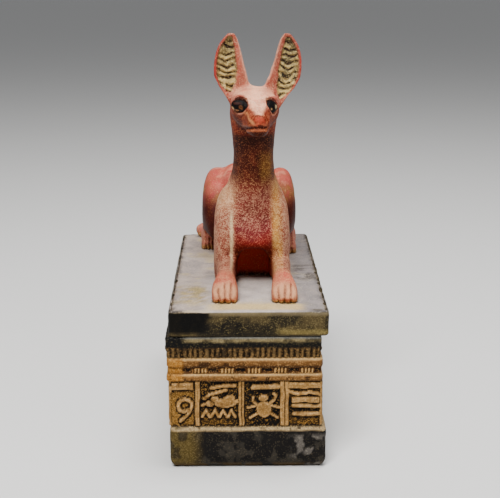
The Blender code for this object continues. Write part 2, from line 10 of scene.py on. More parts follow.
import bpy
import numpy as np
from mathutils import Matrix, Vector


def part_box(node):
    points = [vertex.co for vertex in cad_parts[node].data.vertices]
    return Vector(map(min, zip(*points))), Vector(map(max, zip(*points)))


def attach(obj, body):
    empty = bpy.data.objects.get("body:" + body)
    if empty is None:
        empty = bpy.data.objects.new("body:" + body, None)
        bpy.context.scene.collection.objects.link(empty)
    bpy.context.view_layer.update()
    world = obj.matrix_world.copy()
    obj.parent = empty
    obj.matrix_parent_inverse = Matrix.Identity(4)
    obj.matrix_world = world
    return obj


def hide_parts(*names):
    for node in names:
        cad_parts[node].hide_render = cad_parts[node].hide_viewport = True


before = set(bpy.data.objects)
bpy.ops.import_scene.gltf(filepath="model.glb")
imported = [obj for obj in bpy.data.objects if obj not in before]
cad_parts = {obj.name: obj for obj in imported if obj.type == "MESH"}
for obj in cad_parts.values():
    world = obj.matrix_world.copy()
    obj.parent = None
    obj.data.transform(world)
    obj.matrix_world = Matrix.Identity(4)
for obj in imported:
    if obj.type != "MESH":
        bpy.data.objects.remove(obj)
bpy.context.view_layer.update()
MM = 0.001
print("frame holds", sorted(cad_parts))

# %% [markdown]
# # The camera
#
# The photograph looks at the narrow front from a little above, from about half a metre away. The
# far edge of the slab looks clearly narrower than the near one, so the distance can be worked out
# from it. The lens then follows from how large the chest looks.

# %% Camera
CAMERA_PLACE = (-0.0061, -0.5485, 0.2208)
CAMERA_DOWN = math.radians(13.84)
CAMERA_RIGHT = math.radians(0.86)
LENS = 79.2
SENSOR = 36.0

lens = bpy.data.cameras.new("photo_camera")
lens.lens = LENS
lens.sensor_width = SENSOR
lens.clip_start = 0.01
camera = bpy.data.objects.new("photo_camera", lens)
camera.location = CAMERA_PLACE
camera.rotation_euler = (math.pi / 2 - CAMERA_DOWN, 0, -CAMERA_RIGHT)
bpy.context.scene.collection.objects.link(camera)
bpy.context.scene.camera = camera
print("camera at", CAMERA_PLACE)

# %% [markdown]
# # Numbers that vary softly
#
# Nothing on a hand-carved stone is straight or even. The unevenness comes from value noise: random
# numbers stand at the corners of a cubic lattice, and a smooth curve runs between them. The numbers
# come from hashing the corner's coordinates, so every run of the script gives the same stone.

# %% Noise and smooth steps
def hashed(ix, iy, iz, seed):
    """A number from 0 to 1 for each lattice corner, by mixing the bits of its coordinates."""
    mixed = (ix * 374761393 + iy * 668265263 + iz * 2147483647 + seed * 1274126177) & 0xFFFFFFFF
    mixed = ((mixed ^ (mixed >> 13)) * 1274126177) & 0xFFFFFFFF
    return ((mixed ^ (mixed >> 16)) & 0xFFFF) / 65535.0


def noise(points, size, seed=0):
    """Value noise from -1 to 1: corner numbers joined by the curve 3t^2 - 2t^3 along each axis."""
    scaled = np.asarray(points, dtype=float) / size
    cell = np.floor(scaled).astype(np.int64)
    t = scaled - cell
    t = t * t * (3 - 2 * t)
    total = np.zeros(len(scaled))
    for dx in (0, 1):
        for dy in (0, 1):
            for dz in (0, 1):
                weight = ((t[:, 0] if dx else 1 - t[:, 0]) * (t[:, 1] if dy else 1 - t[:, 1])
                          * (t[:, 2] if dz else 1 - t[:, 2]))
                total += weight * hashed(cell[:, 0] + dx, cell[:, 1] + dy, cell[:, 2] + dz, seed)
    return 2 * total - 1


def cloudy(points, size, seed=0, octaves=3):
    """Noise summed over halving sizes, each half as strong as the one before."""
    total = sum(noise(points, size / 2 ** k, seed + 17 * k) / 2 ** k for k in range(octaves))
    return total / (2 - 0.5 ** (octaves - 1))


def step_up(value, low, high):
    """0 below low, 1 above high, and the curve 3t^2 - 2t^3 between them."""
    t = np.clip((value - low) / (high - low), 0, 1)
    return t * t * (3 - 2 * t)


def step_down(value, low, high):
    """1 below low, 0 above high, and the same curve between them."""
    return 1 - step_up(value, low, high)


def bump(value, centre, reach):
    """1 at the centre, falling smoothly to 0 at the reach on either side."""
    return 1 - step_up(np.abs(value - centre), 0, reach)


def distance_in(points, centre, half):
    """Distance of each point from a centre, measured in half sizes along each axis."""
    return np.linalg.norm((points - centre) / half, axis=1)


print("noise sample", np.round(noise(np.array([[0.2, 0.4, 0.6], [1.7, 2.2, 3.1]]), 1.0), 3))

# %% [markdown]
# # Strokes of relief
#
# The carver left each figure standing by cutting the ground away round it. A figure is worked out
# as a height over the wall: the distance to a stroke, an oval or a wave is compared with its half
# width, and the edge is rounded over the width of a worn arris. Figures join by taking the highest.

# %% Relief strokes, all in millimetres
WORN_EDGE = 0.55


def raised(distance, half_width, edge=WORN_EDGE):
    """Height 1 within the half width of a stroke's middle, falling to 0 over the worn edge."""
    return 1 - step_up(distance, half_width - edge / 2, half_width + edge / 2)


def to_segment(u, v, start, end):
    """Distance from each (u, v) to a straight segment."""
    du, dv = end[0] - start[0], end[1] - start[1]
    along = np.clip(((u - start[0]) * du + (v - start[1]) * dv) / (du * du + dv * dv), 0, 1)
    return np.hypot(u - start[0] - along * du, v - start[1] - along * dv)


def to_path(u, v, points):
    """Distance from each (u, v) to a chain of segments."""
    spans = [to_segment(u, v, a, b) for a, b in zip(points, points[1:])]
    return np.minimum.reduce(spans)


def to_oval(u, v, centre, half_u, half_v):
    """Distance past an oval's rim, below zero inside it, near enough for a worn edge."""
    reach = np.hypot((u - centre[0]) / half_u, (v - centre[1]) / half_v)
    return (reach - 1) * min(half_u, half_v)


def stroke(u, v, points, width):
    """A raised stroke along a chain of points."""
    return raised(to_path(u, v, points), width / 2)


def oval(u, v, centre, half_u, half_v):
    """A raised oval."""
    return raised(to_oval(u, v, centre, half_u, half_v), 0)


print("a stroke is", raised(np.array([0.0, 1.0, 2.0]), 1.0), "high across its edge")

# %% [markdown]
# # The chest's bands
#
# From the ground up the box has a plain base block, a field of relief panels, a ledge, a frieze, a
# second ledge, a fluted hollow moulding and a rim. Seen in section that is one line from the
# underside to the rim, so the wall is that line carried round a rectangle with round corners. The
# carver cut the upper bands a little further left than the lower ones, and they stay so.

# %% Sizes of the chest, in millimetres
HALF_WIDTH = 36.1
HALF_LENGTH = 77.5
FRONT_LIMIT = -60
PANEL_MARGIN = 3.2
OUTER_DEPTH = 3.6
CORNER = 2.4
WALL = 8.0
FLOOR = 9.0
BASE_TOP = 19.6
FIELD_TOP = 42.5
FRIEZE_BOTTOM = 46.1
FRIEZE_TOP = 49.4
FLUTE_BOTTOM = 53.4
FLUTE_TOP = 58.8
CHEST_TOP = float(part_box("chest")[1][2]) / MM
BASE_DRIFT = 0.1
FIELD_DRIFT = -1.0
FRIEZE_DRIFT = -1.4
RIM_DRIFT = -1.9
FIELD_INSET = 2.0
LEDGE_INSET = 0.45
FRIEZE_INSET = 1.15
FLUTE_INSET = 2.0
RIM_INSET = 0.65
RELIEF = 1.15
BASE_ROUNDING = 5.8


def wall_section():
    """Rows of (inset, height) of the outer wall, from the underside to the rim's top."""
    turns = np.radians(np.linspace(0, 90, 9))
    rounding = [(BASE_ROUNDING * (1 - math.sin(a)) * 0.8 + 0.05, BASE_ROUNDING * (1 - math.cos(a)) * 0.9)
                for a in turns]
    corners = rounding + [
        (0.05, BASE_TOP - 1.4), (0.35, BASE_TOP - 0.4), (1.1, BASE_TOP + 0.1),
        (FIELD_INSET - 0.1, BASE_TOP + 0.6), (FIELD_INSET, BASE_TOP + 1.2),
        (FIELD_INSET, FIELD_TOP - 0.3), (FIELD_INSET - 0.3, FIELD_TOP),
        (LEDGE_INSET + 0.3, FIELD_TOP + 0.1), (LEDGE_INSET, FIELD_TOP + 0.6),
        (LEDGE_INSET, FRIEZE_BOTTOM - 0.9), (LEDGE_INSET + 0.25, FRIEZE_BOTTOM - 0.25),
        (FRIEZE_INSET, FRIEZE_BOTTOM + 0.1), (FRIEZE_INSET, FRIEZE_TOP - 0.1),
        (LEDGE_INSET + 0.2, FRIEZE_TOP + 0.15), (LEDGE_INSET, FRIEZE_TOP + 0.7),
        (LEDGE_INSET, FLUTE_BOTTOM - 1.0), (LEDGE_INSET + 0.4, FLUTE_BOTTOM - 0.3),
        (FLUTE_INSET, FLUTE_BOTTOM + 0.1), (FLUTE_INSET, FLUTE_BOTTOM + 3.0),
        (FLUTE_INSET - 0.5, FLUTE_TOP - 1.6), (RIM_INSET + 0.25, FLUTE_TOP - 0.1),
        (RIM_INSET, FLUTE_TOP + 0.4), (RIM_INSET, CHEST_TOP - 0.6), (RIM_INSET + 0.6, CHEST_TOP),
    ]
    line = np.array(corners)
    lengths = np.hypot(*np.diff(line, axis=0).T)
    along = np.concatenate([[0], np.cumsum(lengths)])
    spots = np.linspace(0, along[-1], WALL_ROWS)
    return np.column_stack([np.interp(spots, along, line[:, 0]), np.interp(spots, along, line[:, 1])])


def drift(z):
    """How far right of the middle the wall stands at each height."""
    heights = [BASE_TOP - 0.5, BASE_TOP + 1, FIELD_TOP - 0.1, FIELD_TOP + 0.5,
               FLUTE_BOTTOM - 0.5, FLUTE_BOTTOM + 0.3]
    shifts = [BASE_DRIFT, FIELD_DRIFT, FIELD_DRIFT, FRIEZE_DRIFT, FRIEZE_DRIFT, RIM_DRIFT]
    return np.interp(z, heights, shifts)


WALL_ROWS = 128
section = wall_section()
print("the wall's section has", len(section), "rows, up to", section[-1][1], "mm")

# %% [markdown]
# # Round the box
#
# The section is carried round the plan. Each column of the grid knows which wall it is on and how
# far along that wall it is, because the figures are placed along a wall. The front is what the
# photograph shows, so its columns stand closest together.

# %% The plan of the box
COLUMN_STEPS = {0: 0.34, 1: 0.83, 2: 0.68, 3: 0.83}
CORNER_STEPS = 5


def wall_line(wall, half_width, half_length):
    """A wall's direction to its right, its outward direction, its half length and its distance out."""
    angle = math.pi / 2 * wall
    right = np.array((math.cos(angle), math.sin(angle)))
    out = np.array((math.sin(angle), -math.cos(angle)))
    half, reach = (half_length, half_width) if wall % 2 else (half_width, half_length)
    return right, out, half - CORNER, reach


def corner_arc(right, out, half, reach, turn):
    """The places and outward directions of the round corner at a wall's right end."""
    directions = np.cos(turn)[:, None] * out + np.sin(turn)[:, None] * right
    return half * right + (reach - CORNER) * out + CORNER * directions, directions


def at_height(places, z):
    """Plan places lifted to one height."""
    return np.column_stack([places, np.full(len(places), z)])


def plan_columns():
    """For each column: place on the outer plan, outward direction, wall number and way along it."""
    places, outward, walls, along = [], [], [], []
    for wall in range(4):
        right, out, half, reach = wall_line(wall, HALF_WIDTH, HALF_LENGTH)
        count = int(round(2 * half / COLUMN_STEPS[wall])) + 1
        u = np.linspace(-half, half, count)
        places.append(u[:, None] * right + reach * out)
        outward.append(np.tile(out, (count, 1)))
        turn = np.linspace(0, math.pi / 2, CORNER_STEPS + 2)[1:-1]
        for kept, part in zip((places, outward), corner_arc(right, out, half, reach, turn)):
            kept.append(part)
        walls.append(np.full(count + CORNER_STEPS, wall))
        along.append(np.concatenate([u, half + CORNER * turn]))
    return tuple(np.concatenate(part) for part in (places, outward, walls, along))


plan, facing, wall_of, along_wall = plan_columns()
print("the plan has", len(plan), "columns")

# %% [markdown]
# # The front's figures
#
# Three dividers part the front into four panels: a looped hook, a lying beast under two bars and
# over a row of peaks, a beetle, and a wave over level bars. They are the common figures of such
# chests in plain form. Heights are given over the base block, and places along the wall from its
# middle.

# %% Figures on the front
DIVIDERS = ((-22.0, 1.0), (-1.9, 1.15), (17.8, 1.9))
FRONT_EDGES = ((-35.0, 0.75), (35.4, 0.8))


def hook_panel(u, v):
    """A plain band over a looped hook whose tail runs down to the left."""
    band = raised(np.maximum(np.abs(u + 29.0) - 5.0, np.abs(v - 20.4) - 1.9), 0)
    loop = [(-26.6, 8.9), (-28.6, 8.0), (-30.3, 8.8), (-31.0, 10.8), (-30.5, 12.6), (-29.3, 13.7),
            (-27.7, 14.0), (-25.9, 13.5), (-24.6, 12.2), (-24.9, 9.9), (-25.9, 7.8), (-27.7, 5.5),
            (-30.0, 3.5)]
    return np.maximum(band, stroke(u, v, loop, 1.5))


def beast_panel(u, v):
    """Two bars, a lying beast with a humped back, and four peaks below."""
    bars = [stroke(u, v, [(-15.7, 19.4), (-9.1, 20.7), (-4.6, 20.5)], 1.5),
            stroke(u, v, [(-18.9, 14.3), (-16.7, 16.6), (-8.6, 18.6)], 1.6)]
    body = [oval(u, v, (-9.1, 12.3), 5.2, 2.3), oval(u, v, (-14.1, 14.4), 1.9, 1.6),
            oval(u, v, (-7.0, 14.5), 2.3, 1.5), oval(u, v, (-16.4, 11.8), 1.9, 1.4),
            stroke(u, v, [(-6.4, 13.4), (-3.6, 12.7)], 1.5)]
    forelimb = stroke(u, v, [(-15.7, 12.4), (-19.7, 11.0)], 1.3)
    peaks = [stroke(u, v, [(x - 1.7, 5.4), (x, 8.6), (x + 1.7, 5.4)], 1.25)
             for x in (-18.0, -14.2, -10.4, -6.4)]
    return np.maximum.reduce(bars + body + peaks + [forelimb])


def beetle_panel(u, v):
    """A bar over a beetle with three pairs of bent legs."""
    bar = stroke(u, v, [(3.6, 19.9), (14.8, 19.9)], 2.3)
    body = oval(u, v, (8.4, 9.0), 3.55, 3.9)
    head = oval(u, v, (8.3, 14.4), 2.2, 1.7)
    left = [[(5.2, 11.6), (3.4, 13.2), (3.6, 15.2)], [(4.8, 11.0), (1.1, 9.7)], [(5.2, 6.9), (2.1, 4.7)]]
    right = [[(11.3, 12.0), (13.2, 13.4), (13.9, 15.4), (12.8, 16.3)], [(11.8, 11.0), (15.5, 9.8)],
             [(11.5, 6.9), (14.6, 4.7)]]
    return np.maximum.reduce([bar, body, head] + [stroke(u, v, leg, 1.2) for leg in left + right])


def wave_panel(u, v):
    """A slow wave under a plain top, over two level bars."""
    wave = [(19.8, 17.7), (23.9, 16.6), (29.0, 17.2), (34.5, 16.1)]
    top = raised(np.maximum(np.abs(u - 27.2) - 7.6, np.abs(v - 20.6) - 1.5), 0)
    middle = 0.75 * raised(np.maximum(np.abs(u - 27.6) - 6.4, np.abs(v - 13.6) - 1.3), 0)
    return np.maximum.reduce([stroke(u, v, wave, 1.7), top, middle,
                              stroke(u, v, [(21.9, 10.7), (34.5, 10.6)], 1.7),
                              stroke(u, v, [(22.2, 6.7), (34.2, 6.9)], 2.0)])


def front_field(u, v):
    """All of the front's panels with their dividers, which are double ridges."""
    figures = [hook_panel(u, v), beast_panel(u, v), beetle_panel(u, v), wave_panel(u, v)]
    for middle, half in DIVIDERS + FRONT_EDGES:
        ridge = raised(np.abs(u - middle), half)
        groove = 0.55 * raised(np.abs(u - middle - 0.15), 0.25, 0.5)
        figures.append(ridge - groove * (half > 1))
    return np.maximum.reduce(figures)


print("the front has", len(DIVIDERS) + 1, "panels")

# %% [markdown]
# # The hidden walls
#
# The photograph doesn't show the sides and the back. They are finished in keeping and plainer: the
# same bands, with a plain gate or a disc over two lines in each panel.

# %% Figures on the sides and the back
PANEL_PITCH = 19.9
FIRST_PANEL = 11.2
DIVIDER_HALF = 1.3


def panel_edges(half):
    """Where a wall's dividers stand: a narrow first panel, then panels of the full pitch."""
    inner = np.arange(FIRST_PANEL - half, half - PANEL_PITCH / 2, PANEL_PITCH)
    return [-half, *inner, half]


def gate(u, v, width):
    """Two uprights under a lintel."""
    lintel = stroke(u, v, [(-width * 0.30, 15.2), (width * 0.30, 15.2)], 2.0)
    posts = [stroke(u, v, [(s * width * 0.20, 2.2), (s * width * 0.20, 13.0)], 2.0) for s in (-1, 1)]
    return np.maximum.reduce([lintel, *posts])


def disc(u, v, width):
    """A disc over two level strokes."""
    lines = [stroke(u, v, [(-width * 0.34, h), (width * 0.34, h)], 1.5) for h in (5.6, 2.8)]
    return np.maximum.reduce([oval(u, v, (0, 12.4), width * 0.21, width * 0.21), *lines])


def plain_field(u, v, half):
    """The panels of a hidden wall."""
    edges = panel_edges(half)
    figures = [raised(np.abs(u - edge), DIVIDER_HALF) for edge in edges]
    figures.append(raised(np.abs(v - 18.9), 1.7))
    for k, (left, right) in enumerate(zip(edges, edges[1:])):
        figure = disc if k % 2 else gate
        figures.append(figure(u - (left + right) / 2, v, right - left - 2 * DIVIDER_HALF))
    return np.maximum.reduce(figures)


print("a long wall has", len(panel_edges(HALF_LENGTH - PANEL_MARGIN)) - 1, "panels")

# %% [markdown]
# # Frieze and flutes
#
# The frieze repeats a group of upright strokes and a dark sunk block. The hollow moulding above the
# second ledge is cut into upright flutes. Both were cut by eye, so each stroke stands a little off
# its place, by an amount that comes from the noise.

# %% Strokes of the frieze and of the fluted moulding
FRIEZE_PITCH = 12.15
FRIEZE_START = -11.3
FRIEZE_LEFT = -29.0
STROKE_PLACES = (1.0, 2.55, 4.1, 5.65)
BLOCK_PLACE = 9.2
FLUTE_PITCH = 2.55


def frieze(u, v, left_end):
    """Groups of four strokes between sunk blocks: positive is raised, negative is sunk."""
    phase = np.mod(u - FRIEZE_START, FRIEZE_PITCH)
    strokes = np.zeros_like(u)
    for place in STROKE_PLACES:
        strokes = np.maximum(strokes, raised(np.abs(phase - place), 0.42, 0.5))
    rise, depth = v, FRIEZE_TOP - FRIEZE_BOTTOM
    strokes = strokes * raised(np.abs(rise - depth / 2), depth / 2 - 0.5)
    block = raised(np.maximum(np.abs(phase - BLOCK_PLACE) - 2.3, np.abs(rise - depth / 2) - 0.9), 0)
    worn = step_up(u, left_end, left_end + 1.2)
    return (0.75 * strokes - 0.9 * block) * worn


def flutes(u, v, shake):
    """Upright ridges that start at the ledge and die away under the rim."""
    phase = np.mod(u + shake, FLUTE_PITCH) - FLUTE_PITCH / 2
    ridge = np.clip(1 - (np.abs(phase) / 1.05) ** 2, 0, 1)
    return ridge * step_up(v, -0.4, 0.5) * step_down(v, 4.4, 5.8)


print("frieze pitch", FRIEZE_PITCH, "mm, flute pitch", FLUTE_PITCH, "mm")

# %% [markdown]
# # Carving the box
#
# Now the surface itself. One grid covers the whole box: each column runs up the outer wall, over the
# rim, down the hollow and across the floor, and a last row closes the underside. A point stands at
# the plan's place, drawn in by the section's inset and pushed out by the relief at that place.

# %% Relief over the whole wall
def wall_relief(rows_z, u, wall, places):
    """Millimetres that the wall stands out over its section, for whole arrays of grid points."""
    height = np.zeros_like(u)
    shake = 0.35 * noise(np.column_stack([u, wall * 40.0, rows_z * 0 + 3]), 3.1, 5)
    wander_u = 0.30 * noise(places, 4.5, 11)
    wander_v = 0.30 * noise(places, 4.5, 12)
    for number in range(4):
        half = (HALF_LENGTH if number % 2 else HALF_WIDTH) - PANEL_MARGIN
        on = (wall == number) & (rows_z > BASE_TOP + 0.7) & (rows_z < FIELD_TOP - 0.1)
        uu, vv = u[on] + wander_u[on], rows_z[on] - BASE_TOP + wander_v[on]
        field = front_field(uu, vv) if number == 0 else plain_field(uu, vv, half)
        height[on] = RELIEF * field * step_up(vv, 0.6, 1.4)
        on = (wall == number) & (rows_z > FRIEZE_BOTTOM) & (rows_z < FRIEZE_TOP)
        left_end = FRIEZE_LEFT if number == 0 else -half
        height[on] = 0.7 * frieze(u[on] + wander_u[on], rows_z[on] - FRIEZE_BOTTOM, left_end)
        on = (wall == number) & (rows_z > FLUTE_BOTTOM) & (rows_z < FLUTE_TOP + 0.4)
        height[on] = 1.0 * flutes(u[on], rows_z[on] - FLUTE_BOTTOM, shake[on])
    return height


def chest_surface():
    """The box as one closed grid, and for each of its points the relief height from 0 to 1."""
    rows = len(section)
    inset = np.repeat(section[:, 0], len(plan)).reshape(rows, -1)
    z = np.repeat(section[:, 1], len(plan)).reshape(rows, -1)
    u = np.tile(along_wall, (rows, 1))
    wall = np.tile(wall_of, (rows, 1))
    raw = np.concatenate([np.tile(plan, (rows, 1, 1)), z[:, :, None]], axis=2)
    flat = raw.reshape(-1, 3)
    relief = wall_relief(z.ravel(), u.ravel(), wall.ravel(), flat)
    rough = 0.16 * cloudy(flat, 3.2, 3) + 0.10 * noise(flat, 1.1, 9)
    long_wave = 0.16 * noise(flat * (1, 1, 2.2), 14.0, 21)
    chipped = -0.8 * step_up(noise(flat, 3.4, 31), 0.62, 0.95)
    edge = bump(flat[:, 2], BASE_TOP - 0.6, 1.6) + bump(flat[:, 2], FRIEZE_BOTTOM - 0.6, 1.2)
    edge += bump(flat[:, 2], FLUTE_BOTTOM - 0.8, 1.2) + bump(flat[:, 2], FIELD_TOP + 0.8, 1.2)
    edge += bump(flat[:, 2], FLUTE_TOP + 1.0, 1.8)
    out = relief + rough + long_wave + chipped * np.clip(edge, 0, 1)
    calm = step_up(flat[:, 2], 0.1, 2.0)
    out = np.clip(out * calm - inset.ravel(), -3.1, -0.02).reshape(rows, -1)
    sag = 0.22 * noise(np.column_stack([flat[:, :2], flat[:, 2] * 0 + 5]), 11.0, 41).reshape(rows, -1)
    sag *= bump(z, 0.5 * (BASE_TOP + FLUTE_BOTTOM), 26.0)
    outer = raw.copy()
    outer[:, :, :2] += facing[None] * out[:, :, None]
    outer[:, :, 0] += drift(z)
    outer[:, :, 2] = np.clip(z + sag, 0, CHEST_TOP)
    return outer, relief.reshape(rows, -1) / RELIEF


def with_hollow(outer):
    """Add the rim's flat top, the hollow and its floor above the last row, and the underside below."""
    ring = outer[-1]
    inner_half = np.array((HALF_WIDTH - WALL, HALF_LENGTH - WALL))
    scale = inner_half / (HALF_WIDTH, HALF_LENGTH)
    hollow = plan * scale + (FIELD_DRIFT, 0)
    rows = [outer]
    for share in (0.4, 0.8):
        flat_top = ring.copy()
        flat_top[:, :2] = ring[:, :2] * (1 - share) + hollow * share
        rows.append(flat_top[None])
    for z in (CHEST_TOP, CHEST_TOP - 0.6, CHEST_TOP - 12, FLOOR + 12, FLOOR + 1.5, FLOOR):
        pull = 0.5 if z in (CHEST_TOP, FLOOR) else 0
        grown = hollow + pull * np.sign(plan) * (-1 if z == FLOOR else 1) * (np.abs(plan) > inner_half)
        rows.append(at_height(grown, z)[None])
    for share in (0.6, 0.2):
        rows.append(at_height(hollow * share + (FIELD_DRIFT * (1 - share), 0), FLOOR)[None])
    under = [at_height(outer[0][:, :2] * share, 0.0)[None] for share in (0.2, 0.6)]
    return np.concatenate(under + rows)


carved, relief_height = chest_surface()
box_grid = with_hollow(carved)
print("box grid", box_grid.shape, "relief up to", round(float(relief_height.max()), 2))

# %% [markdown]
# # From grid to mesh
#
# A closed grid becomes faces between neighbouring rows and columns, with the last column joined to
# the first. Its two open ends are closed by a point in the middle. Values at the points, such as
# paint, are kept in named attributes that the materials read.

# %% Mesh building
def tube_faces(rows, columns):
    """Quads between neighbouring rows and columns of a grid that closes on itself sideways."""
    row, column = np.meshgrid(np.arange(rows - 1), np.arange(columns), indexing="ij")
    beside = (column + 1) % columns
    quads = np.stack([row * columns + column, row * columns + beside,
                      (row + 1) * columns + beside, (row + 1) * columns + column], axis=-1)
    return quads.reshape(-1, 4)


def closed_skins(name, parts):
    """One mesh of closed skins, each a grid of rings in millimetres with a point in each end's middle."""
    points, faces, start = [], [], 0
    for grid in parts:
        rows, columns = grid.shape[:2]
        count = rows * columns
        ring = np.arange(columns)
        beside = (ring + 1) % columns
        points += [grid.reshape(-1, 3), grid[0].mean(axis=0)[None], grid[-1].mean(axis=0)[None]]
        faces += (tube_faces(rows, columns) + start).tolist()
        faces += (np.column_stack([beside, ring, np.full(columns, count)]) + start).tolist()
        top = count - columns
        faces += (np.column_stack([top + ring, top + beside, np.full(columns, count + 1)]) + start).tolist()
        start += count + 2
    mesh = bpy.data.meshes.new(name)
    mesh.from_pydata((np.vstack(points) * MM).tolist(), [], faces)
    return mesh


def shaded_smooth(mesh):
    """The mesh with every face shaded as part of one curved surface."""
    mesh.polygons.foreach_set("use_smooth", np.ones(len(mesh.polygons), dtype=bool))
    mesh.update()
    return mesh


def put_points(mesh, points):
    """Move the mesh's points to places given in millimetres."""
    mesh.vertices.foreach_set("co", (points * MM).ravel())
    mesh.update()


def coordinates(mesh):
    """The mesh's points as an array in millimetres."""
    values = np.empty(len(mesh.vertices) * 3)
    mesh.vertices.foreach_get("co", values)
    return values.reshape(-1, 3) / MM


def normals(mesh):
    """The outward direction at each of the mesh's points."""
    values = np.empty(len(mesh.vertices) * 3)
    mesh.vertex_normals.foreach_get("vector", values)
    return values.reshape(-1, 3)


def neighbour_mean(mesh, values):
    """For each point, the mean of a value over the points that share an edge with it."""
    pairs = np.empty(len(mesh.edges) * 2, dtype=np.int64)
    mesh.edges.foreach_get("vertices", pairs)
    a, b = pairs.reshape(-1, 2).T
    count = np.bincount(a, minlength=len(values)) + np.bincount(b, minlength=len(values))
    columns = values.reshape(len(values), -1)
    total = np.stack([np.bincount(a, columns[b, k], len(values)) + np.bincount(b, columns[a, k], len(values))
                      for k in range(columns.shape[1])], axis=1)
    return (total / np.maximum(count, 1)[:, None]).reshape(values.shape)


def hollowness(mesh, rounds=2):
    """How far each point lies below (+) or above (-) its neighbourhood, in millimetres."""
    points = coordinates(mesh)
    mean = points
    for _ in range(rounds):
        mean = neighbour_mean(mesh, mean)
    return np.sum((mean - points) * normals(mesh), axis=1)


def keep_value(mesh, name, values):
    """Store one number per point under a name that a material can read."""
    kept = mesh.attributes.new(name, "FLOAT", "POINT")
    kept.data.foreach_set("value", np.asarray(values, dtype=np.float32))


def keep_colour(mesh, name, colours):
    """Store one colour per point."""
    full = np.column_stack([colours, np.ones(len(colours))]).astype(np.float32)
    mesh.attributes.new(name, "FLOAT_COLOR", "POINT").data.foreach_set("color", full.ravel())


chest_mesh = shaded_smooth(closed_skins("chest_carved", [box_grid]))
print("chest", len(chest_mesh.polygons), "faces")

# %% [markdown]
# # The lid's slab
#
# The lid is a plain slab with softened edges and a shallow tongue below that keeps it in place. Its
# edges are worn and knocked. It is carried round its plan like the box, with few rows, and its top
# is a flat sheet of rings that run in to the middle.

# %% Slab
SLAB_HALF_WIDTH = 36.4
SLAB_HALF_LENGTH = 77.8
SLAB_BOTTOM = CHEST_TOP + 0.4
SLAB_TOP = SLAB_BOTTOM + 11.8
SLAB_ROUNDING = 1.4
LID_SHIFT = 0.4
TONGUE_DEPTH = 4.0
TONGUE_HALF = (26.9, 68.3)
SLAB_STEP = 1.1


def slab_plan():
    """Plan of the slab as places and outward directions, evenly spaced, with round corners."""
    places, outward = [], []
    for wall in range(4):
        right, out, half, reach = wall_line(wall, SLAB_HALF_WIDTH, SLAB_HALF_LENGTH)
        u = np.linspace(-half, half, int(2 * half / SLAB_STEP))
        turn = np.linspace(0, math.pi / 2, 6)[1:-1]
        corner, directions = corner_arc(right, out, half, reach, turn)
        places += [u[:, None] * right + reach * out, corner]
        outward += [np.tile(out, (len(u), 1)), directions]
    return np.concatenate(places), np.concatenate(outward)


def slab_grid():
    """Rings from the tongue's underside, out round the slab's edge and in over its top."""
    places, outward = slab_plan()
    tongue = places * (TONGUE_HALF[0] / SLAB_HALF_WIDTH, TONGUE_HALF[1] / SLAB_HALF_LENGTH) + (FIELD_DRIFT, 0)
    seat = places + (LID_SHIFT, 0)
    rings = [at_height(tongue * 0.96, SLAB_BOTTOM - TONGUE_DEPTH),
             at_height(tongue, SLAB_BOTTOM - TONGUE_DEPTH + 0.8), at_height(tongue, SLAB_BOTTOM)]
    r, height = SLAB_ROUNDING, SLAB_TOP - SLAB_BOTTOM
    edge = [(r * (1 - math.sin(a)), r * (1 - math.cos(a))) for a in np.radians(np.linspace(0, 90, 5))]
    side = [(0.0, h) for h in np.linspace(r, height - r, 9)[1:-1]]
    top = [(r * (1 - math.cos(a)), height - r * (1 - math.sin(a))) for a in np.radians(np.linspace(0, 90, 6))]
    for inset, rise in edge + side + top:
        ring = at_height(seat - outward * inset, SLAB_BOTTOM + rise)
        wear = 0.16 * cloudy(ring, 3.4, 61) + 0.14 * noise(ring, 13.0, 62) - 0.16
        corner = bump(rise, height, 2.4) + bump(rise, 0.0, 1.6)
        wear -= 0.75 * corner * step_up(noise(ring, 5.0, 63), 0.35, 0.9)
        ring[:, :2] += outward * wear[:, None]
        ring[:, 2] -= 0.3 * (rise > r) * corner * step_up(noise(ring, 4.0, 64), 0.2, 0.9)
        rings.append(ring)
    for share in np.linspace(0.975, 0.05, 24):
        ring = at_height(seat * share + (LID_SHIFT * (1 - share), 0), SLAB_TOP)
        ring[:, 2] += 0.10 * noise(ring, 9.0, 65) - 0.12
        rings.append(ring)
    return np.array(rings)


slab_mesh = shaded_smooth(closed_skins("slab", [slab_grid()]))
print("slab from", SLAB_BOTTOM, "to", round(SLAB_TOP, 1), "mm,", len(slab_mesh.polygons), "faces")

# %% [markdown]
# # The jackal's body
#
# The animal is a soft union of tapering limbs. Each limb is a row of stations, with a place, half
# a width and half a depth, joined by a smooth curve and carried as ovals along it. Closed skins that
# overlap are then melted into one by a voxel remesh, which fills the inside with small cubes and
# wraps one surface round them. That gives the carved stone's soft valleys where limbs meet.

# %% Limbs as ovals along a path
def smooth_path(stations, per_span):
    """Stations interpolated by a Catmull-Rom curve: each span is a cubic through its four neighbours."""
    rows = np.array(stations, dtype=float)
    padded = np.vstack([2 * rows[0] - rows[1], rows, 2 * rows[-1] - rows[-2]])
    t = (np.arange(per_span) / per_span)[:, None]
    spans = [0.5 * (2 * b + (c - a) * t + (2 * a - 5 * b + 4 * c - d) * t ** 2
                    + (3 * b - a - 3 * c + d) * t ** 3)
             for a, b, c, d in zip(padded, padded[1:], padded[2:], padded[3:])]
    return np.vstack(spans + [rows[-1:]])


